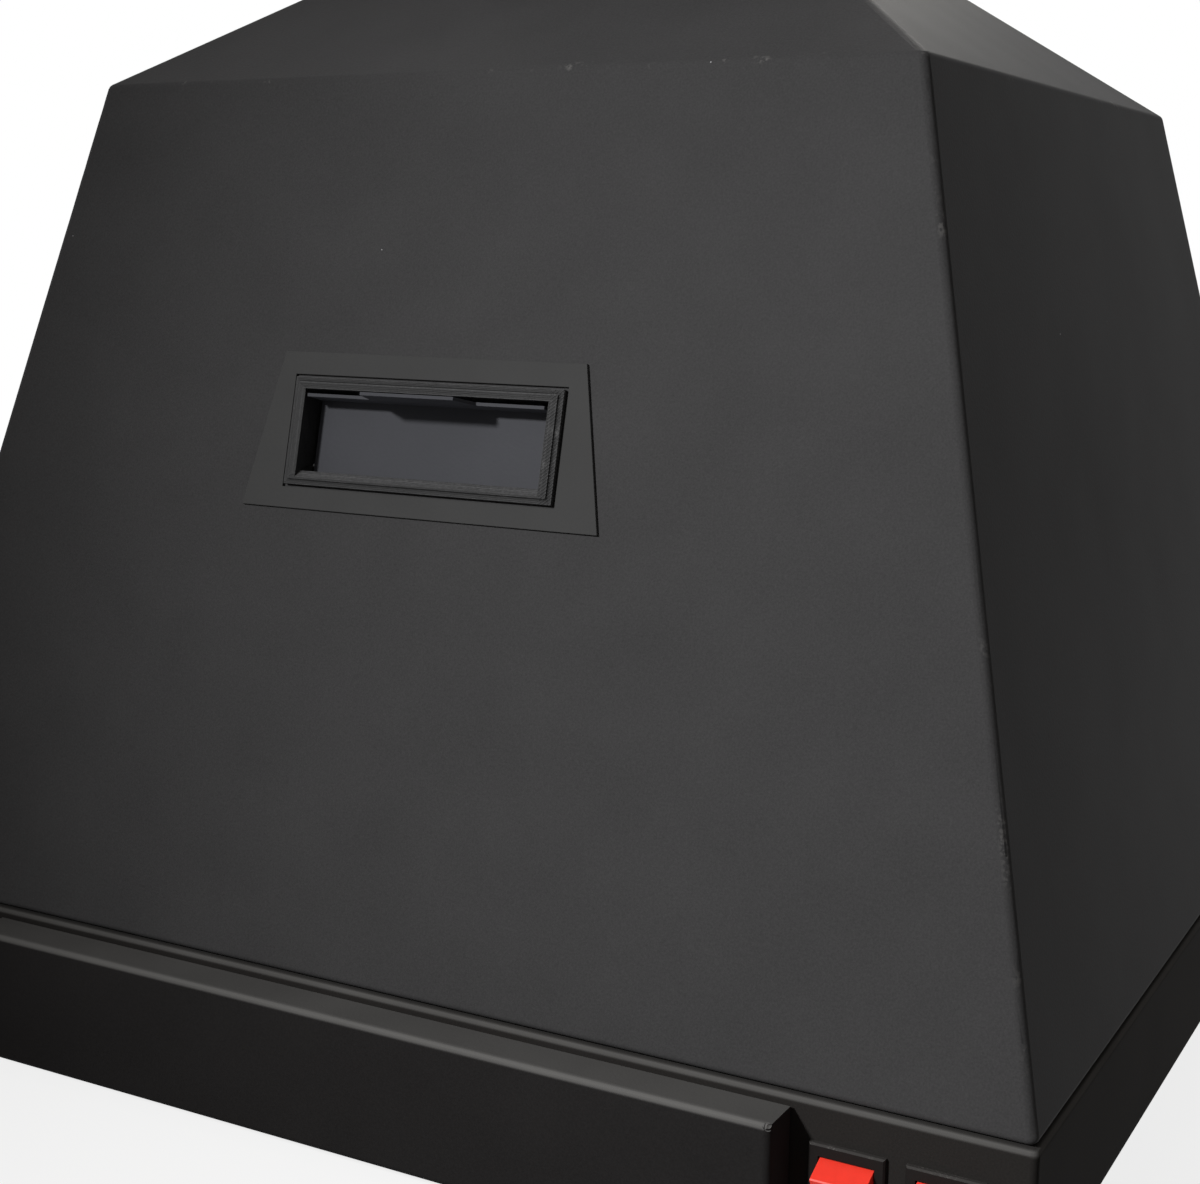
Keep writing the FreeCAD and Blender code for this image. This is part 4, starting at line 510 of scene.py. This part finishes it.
def printed_plastic(name, colour):
    """Each painted highlight line is a distance in, a reach to either side and a strength."""
    skin = Finish(name)
    x = skin.axis(X)
    inner = inward(skin)
    wobble = (skin.noise(0.005, 3) - 0.5) * 0.0005
    beads = waves(skin, inner + wobble, BEAD_SPACING)
    slanted = face_height(skin) - x * STROKE_SLANT + wobble * 0.4
    strokes = waves(skin, slanted, STROKE_SPACING) * skin.ramp(skin.noise(0.006, 2), 0.25, 0.5)
    right = skin.ramp(x, WINDOW_HALF + 0.0004, WINDOW_HALF + 0.0008)
    lines = beads * (1 - right) * 0.6 + strokes * right
    rough = skin.noise(0.0009, 3)
    # Painted highlights: pale lines where the ridge and ledge edges would catch the light.
    bright = sum(
        skin.ramp(abs(inner - depth), reach, 0.0001) * strength
        for depth, reach, strength in PAINTED_EDGE_HIGHLIGHTS
    )
    # Painted shade: a dark line in the crevice at the ridge's foot.
    dark = skin.ramp(abs(inner - PAINTED_CREVICE_SHADE), 0.0005, 0.0002)
    # Painted light: the sill, which faces up, is made paler.
    sill = skin.ramp(skin.upward(), 0.5, 0.8)
    tone = 1 + lines * 0.3 + (rough - 0.5) * 0.6
    tone = tone + (bright + sill * 1.6) * rough * 2.0 - dark * 0.5
    bumps = skin.relief(lines * 0.5 + 0.5, 0.00015)
    skin.set(Base_Color=skin.shaded(colour, tone), Normal=skin.relief(rough, 0.0001, bumps))
    skin.set(Roughness=0.42 + (rough - 0.5) * 0.2, Specular_IOR_Level=0.12)
    return skin.material


make_finishes(printed_plastic, {"printed_black": dict(colour=(0.022, 0.022, 0.0225))})

# %% [markdown]
# ## Lamp tubes
# A tube is glass between two metal end caps. The caps start a set distance from its ends, and
# that distance is measured from the box of the tubes' own CAD node.

# %% Lamp tubes
CAP_LENGTH = 0.014
CAP_METAL = (0.75, 0.75, 0.76)


def tube_glass(name, colour):
    tube = Finish(name)
    low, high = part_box("short_wave_tubes")
    middle = (low.y + high.y) / 2
    reach = (high.y - low.y) / 2 - CAP_LENGTH
    cap = tube.ramp(abs(tube.axis(Y) - middle), reach - 0.0002, reach + 0.0002)
    coating = tube.noise(0.012, 3)
    tube.set(Base_Color=tube.mix(cap, tube.shaded(colour, 0.85 + coating * 0.3), CAP_METAL))
    tube.set(Metallic=cap, Roughness=0.08 + cap * 0.2 + coating * 0.05)
    tube.set(Coat_Weight=0.5 * (1 - cap))
    return tube.material


make_finishes(tube_glass, {
    "clear_quartz": dict(colour=(0.80, 0.84, 0.88)),
    "violet_glass": dict(colour=(0.055, 0.025, 0.12)),
})

# %% [markdown]
# ## The circuit board
# The board has one slot for all that stands on it, so height decides the colour: green solder
# mask with tracks at the bottom, black parts above it, and blue on the tallest ones.

# %% Circuit board
BOARD_TOP = 0.0018
TALL_PARTS = 0.0151
STEP = 0.0001
CELLS_PER_METRE = 420.0


def circuit_board(name, mask, track, part, tall_part):
    board = Finish(name)
    height = board.axis(Z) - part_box("control_board")[0].z
    parts = board.ramp(height, BOARD_TOP - STEP, BOARD_TOP + STEP)
    tall = board.ramp(height, TALL_PARTS - STEP, TALL_PARTS + STEP)
    cells = {"Vector": board.place(), "Scale": CELLS_PER_METRE}
    edges = board.node("TexVoronoi", {"feature": "DISTANCE_TO_EDGE"}, cells)
    line = board.ramp(edges, 0.1, 0.06)
    bodies = board.mix(tall, part, tall_part)
    board.set(Base_Color=board.mix(parts, board.mix(line, mask, track), bodies))
    board.set(Roughness=0.35 + parts * 0.15, Normal=board.relief(line, 0.00003))
    return board.material


make_finishes(circuit_board, {
    "board_green": dict(
        mask=(0.012, 0.10, 0.045), track=(0.04, 0.24, 0.11),
        part=(0.03, 0.03, 0.035), tall_part=(0.02, 0.06, 0.16)),
})

# %% [markdown]
# ## Rocker keys
# The keys are clear red plastic. Their red is darker towards the lower half: painted shade for
# the lower face, which turns away from the light. A little light goes in and comes out again
# beside, which softens their edges.

# %% Rocker keys
def rocker_key(name, colour, shaded_red):
    key = Finish(name)
    low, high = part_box("rocker_left")
    swirl = key.noise(0.004, 2)
    # Painted shade: the red darkens towards the lower half of the key.
    painted_lower_shade = key.ramp(key.axis(Z), high.z - 0.008, low.z + 0.004)
    red = key.mix(painted_lower_shade, colour, shaded_red)
    key.set(Base_Color=key.shaded(red, 0.92 + swirl * 0.16), Roughness=0.36 + swirl * 0.08)
    key.set(Normal=key.relief(key.noise(0.0012, 2), 0.00001), Specular_IOR_Level=0.2)
    key.set(Subsurface_Weight=0.15, Subsurface_Radius=(0.004, 0.0006, 0.0004))
    key.set(Subsurface_Scale=1.0)
    return key.material


make_finishes(rocker_key, {
    "rocker_red": dict(colour=(0.95, 0.050, 0.030), shaded_red=(0.36, 0.008, 0.008)),
})

# %% [markdown]
# ## Every node gets its finish
# The record names one slot for each node. Here the two meet: a loop lays the finish of its
# slot on every CAD node, so that nothing keeps the importer's flat grey.

# %% Finishes on the CAD nodes
slot_of = {row["node"]: row["material_slot"] for row in frame["record"]["subparts"]}


def dress(thing, finish):
    """Gives a mesh one finish and takes away any other."""
    thing.data.materials.clear()
    thing.data.materials.append(finish)


for name, thing in frame["nodes"].items():
    dress(thing, finishes[slot_of[name]])
print(len(finishes), "finishes on", len(frame["nodes"]), "nodes")

# %% [markdown]
# ## Softened edges
# Real edges are never sharp, and the thin light line on an edge is most of what tells an eye
# the size of a thing. A Bevel modifier rounds only edges that turn more than 30 degrees. It
# leaves the CAD mesh itself alone.

# %% Softened edges
SHARP = math.radians(30)
WELD_REACH = 0.000002
SOFT_EDGES = {
    "window_surround": 0.00015,
    "window_frame": 0.00025,
    "window_flap": 0.0002,
    "rocker_case_left": 0.0003,
    "rocker_case_right": 0.0003,
    "rocker_left": 0.0004,
    "rocker_right": 0.0004,
    "inlet_socket": 0.0004,
    "fuse_drawer": 0.0002,
    "fan_frame": 0.0003,
    "sample_stage": 0.0003,
    "camera_body": 0.0004,
    "housing_lid": 0.0003,
    "camera_housing": 0.0002,
    "tube_sockets": 0.0005,
    "power_supply": 0.0006,
}
for name, width in SOFT_EDGES.items():
    thing = frame["nodes"][name]
    weld = thing.modifiers.new("weld", "WELD")
    weld.merge_threshold = WELD_REACH
    bevel = thing.modifiers.new("soft_edges", "BEVEL")
    bevel.width = width
    bevel.segments = 2
    bevel.limit_method = "ANGLE"
    bevel.angle_limit = SHARP
print("softened", len(SOFT_EDGES), "nodes")

# %% [markdown]
# ## Making pieces
# Every added piece is a mesh that rides on a body of the CAD model. One function does the
# bookkeeping: it names the piece, dresses it, ties it to its body and hides the CAD nodes that
# it stands for. A bmesh is where shapes are built, and its doubled corners are merged at the end.

# %% Making pieces
DOUBLED = 1e-7


def mesh_from(shape, name):
    """A mesh from a bmesh, which is freed."""
    bmesh.ops.remove_doubles(shape, verts=shape.verts, dist=DOUBLED)
    bmesh.ops.recalc_face_normals(shape, faces=shape.faces)
    mesh = bpy.data.meshes.new(name)
    shape.to_mesh(mesh)
    shape.free()
    return mesh


def piece(name, shape, body, slot, stands_for=()):
    """A smooth piece from a bmesh or a mesh."""
    mesh = shape if isinstance(shape, bpy.types.Mesh) else mesh_from(shape, name)
    thing = bpy.data.objects.new(name, mesh)
    bpy.context.scene.collection.objects.link(thing)
    dress(thing, finishes[slot])
    for polygon in mesh.polygons:
        polygon.use_smooth = True
    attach(thing, body)
    if stands_for:
        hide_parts(*stands_for)
    print(name, len(mesh.polygons), "faces")


print("pieces can be made")

# %% [markdown]
# ## Finding the screws
# The CAD holds plain screws, many in one node. Their corners are gathered into islands, one
# for each screw. An island's longest side is the screw's axis, and its head is at the end
# where the metal reaches furthest out.

# %% Finding the screws
def islands(node):
    """Lowest and highest corner of each solid of a CAD node."""
    shape = bmesh.new()
    shape.from_mesh(frame["nodes"][node].data)
    bmesh.ops.remove_doubles(shape, verts=shape.verts, dist=1e-6)
    left = set(shape.verts)
    found = []
    while left:
        queue = [left.pop()]
        group = []
        while queue:
            vert = queue.pop()
            group.append(vert.co.copy())
            for edge in vert.link_edges:
                other = edge.other_vert(vert)
                if other in left:
                    left.remove(other)
                    queue.append(other)
        low = Vector([min(co[i] for co in group) for i in range(3)])
        high = Vector([max(co[i] for co in group) for i in range(3)])
        found.append((low, high))
    shape.free()
    return sorted(found, key=lambda pair: tuple(round(v, 4) for v in pair[0]))


def head_at_top(node, axis, low, high):
    """Whether a screw's head is at the higher end of its axis, where its metal is widest."""
    middle = (low[axis] + high[axis]) / 2
    across = (axis + 1) % 3
    centre = (low[across] + high[across]) / 2
    reach = {True: 0.0, False: 0.0}
    for vert in frame["nodes"][node].data.vertices:
        co = vert.co
        if all(low[i] - 1e-6 <= co[i] <= high[i] + 1e-6 for i in range(3)):
            top = co[axis] > middle
            reach[top] = max(reach[top], abs(co[across] - centre))
    return reach[True] > reach[False]


print(len(islands("hood_screws")), "screws hold the hood")

# %% [markdown]
# ## Screws
# A pan-head screw is turned, so its head is a lathed profile: a short wall, a round crown and
# a shank. The cross recess is cut with a Boolean by two tapered blades. The sizes are shares
# of the shank's radius, and each screw is left at a turn of its own.

# %% One screw
HEAD_WIDTH, HEAD_HEIGHT = 1.9, 1.1
BLADE_LENGTH, BLADE_WIDTH, BLADE_DEPTH = 1.15, 0.26, 1.3
BLADE_LIFT, BLADE_TAPER = 0.95, 0.45


def lathe(profile, steps=32):
    """Turns a list of (radius, height) about Z."""
    shape = bmesh.new()
    verts = [shape.verts.new((radius, 0.0, height)) for radius, height in profile]
    edges = [shape.edges.new(pair) for pair in zip(verts, verts[1:])]
    bmesh.ops.spin(
        shape, geom=verts + edges, cent=(0, 0, 0), axis=(0, 0, 1), angle=2 * math.pi, steps=steps
    )
    bmesh.ops.remove_doubles(shape, verts=shape.verts, dist=DOUBLED)
    return shape


def cross_blades(wide, tall):
    """Two crossed blades that narrow downward, to cut a recess into a head."""
    blades = bmesh.new()
    for turn in (0, 90):
        made = bmesh.ops.create_cube(blades, size=1.0)["verts"]
        for vert in made:
            flare = 1.0 if vert.co.z > 0 else BLADE_TAPER
            x = vert.co.x * wide * BLADE_LENGTH * flare
            y = vert.co.y * wide * BLADE_WIDTH
            vert.co = Vector((x, y, vert.co.z * tall * BLADE_DEPTH))
            vert.co.z += tall * BLADE_LIFT
        spin = Matrix.Rotation(math.radians(turn), 3, "Z")
        bmesh.ops.rotate(blades, verts=made, cent=(0, 0, 0), matrix=spin)
    return blades


def recessed_screw(shank, length):
    """Pan-head screw with a cross recess. Its head sits on z = 0 and points up."""
    wide = shank * HEAD_WIDTH
    tall = shank * HEAD_HEIGHT
    profile = [(0.0, -length), (shank * 0.8, -length), (shank, -length + shank * 0.3)]
    profile += [(shank, 0.0), (wide, 0.0)]
    for step in range(7):
        turn = math.radians(15 * step)
        crown = (wide * (0.62 + 0.38 * math.cos(turn)), tall * (0.45 + 0.55 * math.sin(turn)))
        profile.append(crown)
    profile.append((0.0, tall))
    body = bpy.data.objects.new("screw", mesh_from(lathe(profile), "screw"))
    cutter = bpy.data.objects.new("cutter", mesh_from(cross_blades(wide, tall), "cutter"))
    for thing in (body, cutter):
        bpy.context.scene.collection.objects.link(thing)
    cut = body.modifiers.new("recess", "BOOLEAN")
    cut.object = cutter
    cut.operation = "DIFFERENCE"
    cut.use_self = True
    bpy.context.view_layer.update()
    evaluated = body.evaluated_get(bpy.context.evaluated_depsgraph_get())
    mesh = bpy.data.meshes.new_from_object(evaluated)
    for thing in (body, cutter):
        bpy.data.objects.remove(thing)
    return mesh


print("screws can be turned")

# %% [markdown]
# ## Screws in their places
# Four nodes of plain screws are replaced by four pieces of recessed ones. Each screw is made
# to the length that its island leaves below the head, so that it fills the same hole.

# %% Screws in their places
SHANKS = {
    "underside_screws": 0.002,
    "hood_screws": 0.002,
    "turret_screws": 0.0015,
    "rear_screws": 0.0015,
}
TURN_BETWEEN = 0.7

for node, shank in SHANKS.items():
    shape = bmesh.new()
    for number, (low, high) in enumerate(islands(node)):
        size = high - low
        axis = max(range(3), key=lambda i: size[i])
        tip = (low + high) / 2
        crown = tip.copy()
        tip[axis], crown[axis] = low[axis], high[axis]
        if not head_at_top(node, axis, low, high):
            tip, crown = crown, tip
        way = (crown - tip).normalized()
        seat = crown - way * shank * HEAD_HEIGHT
        screw = recessed_screw(shank, (seat - tip).length)
        turn = Matrix.Rotation(TURN_BETWEEN * number, 3, "Z")
        turn = way.to_track_quat("Z", "Y").to_matrix() @ turn
        screw.transform(Matrix.Translation(seat) @ turn.to_4x4())
        shape.from_mesh(screw)
        bpy.data.meshes.remove(screw)
    name = node.replace("screws", "recessed_screws")
    piece(name, shape, "cabinet", "screw_black", [node])

# %% [markdown]
# ## Tubes that follow a path
# Two of the next pieces are tubes along a flat path. At each point of the path a small ring of
# corners stands square to the way ahead, and neighbouring rings are joined by faces. The path
# may be open, with its ends closed off, or run back into itself.

# %% A tube along a flat path
TUBE_SIDES = 10


def bent_tube(shape, path, radii, normal, closed=False):
    """Sweeps a circle along points that lie in a plane with the given normal."""
    count = len(path)
    turns = [2 * math.pi * k / TUBE_SIDES for k in range(TUBE_SIDES)]
    rows = []
    for step, point in enumerate(path):
        before = path[step - 1] if closed or step else point
        after = path[(step + 1) % count] if closed or step < count - 1 else point
        side = (after - before).normalized().cross(normal)
        spokes = [(side * math.cos(t) + normal * math.sin(t)) * radii[step] for t in turns]
        rows.append([shape.verts.new(point + spoke) for spoke in spokes])
    following = rows[1:] + rows[:1] if closed else rows[1:]
    for first, second in zip(rows, following):
        for k in range(TUBE_SIDES):
            beside = (k + 1) % TUBE_SIDES
            shape.faces.new((first[k], first[beside], second[beside], second[k]))
    if not closed:
        shape.faces.new(rows[0])
        shape.faces.new(rows[-1])


def arc(centre, radius, normal, start, sweep, steps):
    """Points on a circle about a centre, square to the normal."""
    turn = normal.to_track_quat("Z", "Y").to_matrix()
    angles = [math.radians(start + sweep * step / steps) for step in range(steps)]
    spokes = [Vector((radius * math.cos(a), radius * math.sin(a), 0.0)) for a in angles]
    return [centre + turn @ spoke for spoke in spokes]


print("tubes of", TUBE_SIDES, "sides can be bent")

# %% [markdown]
# ## Paint rings at the drawer's corners
# The drawer's front pan has a relief hole where its folds meet. Paint has gathered round it in
# a small broken ring, which is thicker in some places than in others.

# %% Paint rings at the drawer's corners
RING_STEPS = 28
RING_RADIUS = 0.00135
RING_INSET = 0.0022
PAINT, PAINT_SWELL, PAINT_END = 0.00026, 0.00012, 0.0001

low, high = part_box("drawer_front")
rings = bmesh.new()
for side, x in ((-1, low.x), (1, high.x)):
    way = Vector((side, -1, 1)).normalized()
    centre = Vector((x, low.y, high.z)) - way * RING_INSET
    radii = [PAINT + PAINT_SWELL * math.sin(0.6 * step) for step in range(RING_STEPS)]
    radii[0] = radii[-1] = PAINT_END
    bent_tube(rings, arc(centre, RING_RADIUS, way, 20, 300, RING_STEPS), radii, way)
piece("corner_paint_rings", rings, "drawer", "drawer_coat")

# %% [markdown]
# ## Wire guard of the fan
# The guard is round wire: three rings on four spokes, with an eye at each screw. Its CAD node
# is flat, so it only gives the guard's size, place and thickness.

# %% Wire guard of the fan
GUARD_RINGS = 3
OUTER_RING = 0.0181
EYE_RADIUS = 0.0033
SPOKE_REACH, SPOKE_WIRE = 0.88, 0.9

low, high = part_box("fan_guard")
middle = (low + high) / 2
wire = (high.y - low.y) / 2
rearward = Vector((0.0, 1.0, 0.0))
reach = (high.x - low.x) / 2 - EYE_RADIUS
guard = bmesh.new()
for ring in range(1, GUARD_RINGS + 1):
    path = arc(middle, OUTER_RING * ring / GUARD_RINGS, rearward, 0, 360, 72)
    bent_tube(guard, path, [wire] * len(path), rearward, closed=True)
for x in (-reach, reach):
    for z in (-reach, reach):
        spot = middle + Vector((x, 0.0, z))
        path = arc(spot, EYE_RADIUS - wire, rearward, 0, 360, 24)
        bent_tube(guard, path, [wire] * len(path), rearward, closed=True)
        spoke = [middle, middle + (spot - middle) * SPOKE_REACH]
        bent_tube(guard, spoke, [wire * SPOKE_WIRE] * 2, rearward)
piece("fan_wire_guard", guard, "cabinet", slot_of["fan_guard"], ["fan_guard"])

# %% [markdown]
# ## Domed front glass of the lens
# The front of a zoom lens bulges. The glass is turned from a profile that rises with the
# square of the distance from its middle, so its lowest point is at the middle.

# %% Domed front glass of the lens
DOME_STEPS = 8
DOME_RISE = 0.0014

low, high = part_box("lens_glass")
radius = (high.x - low.x) / 2
tall = high.z - low.z
dome = [(0.0, 0.0)]
for step in range(1, DOME_STEPS + 1):
    share = step / DOME_STEPS
    dome.append((radius * share, DOME_RISE * share ** 2))
dome += [(radius, tall), (0.0, tall)]
front_glass = mesh_from(lathe(dome, 64), "lens_front_glass")
centre = ((low.x + high.x) / 2, (low.y + high.y) / 2, low.z)
front_glass.transform(Matrix.Translation(centre))
piece("lens_front_glass", front_glass, "cabinet", slot_of["lens_glass"], ["lens_glass"])

# %% [markdown]
# ## Floor
# The photograph is cut out on white, so the far floor is white to the camera, and to glossy
# and clear surfaces. Near the machine the floor stays a real surface and keeps its shadow. The
# photograph's bench was dark: for light that bounces, the floor is grey, so that upright
# panels stay dark.

# %% Floor
WHITE = (1.0, 1.0, 1.0)
FLOOR_SEEN = (0.88, 0.88, 0.88)
FLOOR_BOUNCE = (0.22, 0.22, 0.22)
FLOOR_GLOW = 0.82
WHITE_FROM, WHITE_AT = 0.40, 0.9
FLOOR_HALF = 20.0
FLOOR_DROP = 0.0002


def seen_directly(finish):
    """1 for rays from the camera, off gloss or through glass."""
    seen = 0.0
    for ray in ("Is Camera Ray", "Is Glossy Ray", "Is Transmission Ray"):
        seen = finish.maths("MAXIMUM", seen, finish.node("LightPath", output=ray))
    return seen


def white_floor():
    """A matt floor that turns into plain white with distance, for rays that see it."""
    ground = Finish("floor_white")
    seen = seen_directly(ground)
    pale = ground.shaded(FLOOR_SEEN, 0.99 + ground.noise(0.02, 2) * 0.02)
    ground.set(Base_Color=ground.mix(seen, FLOOR_BOUNCE, pale))
    ground.set(Roughness=0.9, Specular_IOR_Level=0.0)
    away = ground.node("VectorMath", {"operation": "LENGTH"}, {0: ground.place()}, output=1)
    far = ground.ramp(away, WHITE_FROM, WHITE_AT)
    share = seen * (FLOOR_GLOW + far * (1 - FLOOR_GLOW))
    glow = ground.node("Emission", values={"Color": WHITE, "Strength": 1.0})
    lit = Term(ground, ground.shader.outputs[0])
    both = ground.node("MixShader", values={0: share, 1: lit, 2: glow})
    ground.feed(ground.tree.nodes["Material Output"].inputs["Surface"], both)
    return ground.material


shape = bmesh.new()
bmesh.ops.create_grid(shape, x_segments=8, y_segments=8, size=FLOOR_HALF)
floor = bpy.data.objects.new("floor", mesh_from(shape, "floor"))
floor.location.z = -FLOOR_DROP
bpy.context.scene.collection.objects.link(floor)
dress(floor, white_floor())
floor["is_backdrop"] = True
print("floor", 2 * FLOOR_HALF, "m wide")

# %% [markdown]
# ## World
# The world is white to the same rays as the floor. What it lends to everything else is a dim
# light, a little warm, as the right side of the cabinet is in the photograph.

# %% World
AMBIENT = 0.15
AMBIENT_COLOUR = (1.0, 0.93, 0.86)

sky = Finish("studio", bpy.data.worlds.new("studio"))
dim = sky.node("Background", values={"Color": AMBIENT_COLOUR, "Strength": AMBIENT})
white = sky.node("Background", values={"Color": WHITE, "Strength": 1.0})
both = sky.node("MixShader", values={0: seen_directly(sky), 1: dim, 2: white})
sky.feed(sky.tree.nodes["World Output"].inputs["Surface"], both)
bpy.context.scene.world = sky.material
bpy.context.scene.view_settings.view_transform = "Standard"
print("white world, ambient", AMBIENT)

# %% [markdown]
# ## Lamps
# The shadow that the finger tab throws on the window's flap gives the main lamp away: it
# stands to the left of the machine, 28 degrees up, and is small. It never reaches the right
# side, which is why that side is dark in the photograph. It is aimed at the right half of the
# front and fades softly outward, so the left edge stays darker. A second lamp, high at the
# back, lights the slopes of the roof.

# %% Lamps
SIDEWAYS = Vector((1.0, 0.02, 0.0))
KEY_SPOT, KEY_TARGET = Vector((-0.70, -1.99, 1.29)), Vector((0.36, -0.2, 0.22))
KEY_WATTS, KEY_SIZE, KEY_CONE = 246.0, 0.11, math.radians(33)
BACK_SPOT, BACK_TARGET = Vector((-0.3, 1.5, 1.5)), Vector((0.0, 0.0, 0.3))
BACK_WATTS, BACK_SIZE, BACK_COLOUR = 14.0, 0.9, (1.0, 0.97, 0.92)


def add_lamp(name, kind, watts, spot, target):
    """A lamp at a spot, aimed at a target. Gives its light, to be shaped further."""
    light = bpy.data.lights.new(name, kind)
    light.energy = watts
    lamp = bpy.data.objects.new(name, light)
    lamp.matrix_world = aim(spot, (target - spot).normalized(), SIDEWAYS)
    bpy.context.scene.collection.objects.link(lamp)
    return light


key = add_lamp("key", "SPOT", KEY_WATTS, KEY_SPOT, KEY_TARGET)
key.shadow_soft_size = KEY_SIZE
key.spot_size = KEY_CONE
key.spot_blend = 1.0
back = add_lamp("back", "AREA", BACK_WATTS, BACK_SPOT, BACK_TARGET)
back.shape = "DISK"
back.size = BACK_SIZE
back.color = BACK_COLOUR
print(len(bpy.data.lights), "lamps")

# %% [markdown]
# ## Sizes
# The box of the dressed model is printed, for setting beside the CAD box.

# %% Sizes
low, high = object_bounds()
print("dressed box", [round(v, 4) for v in high - low])
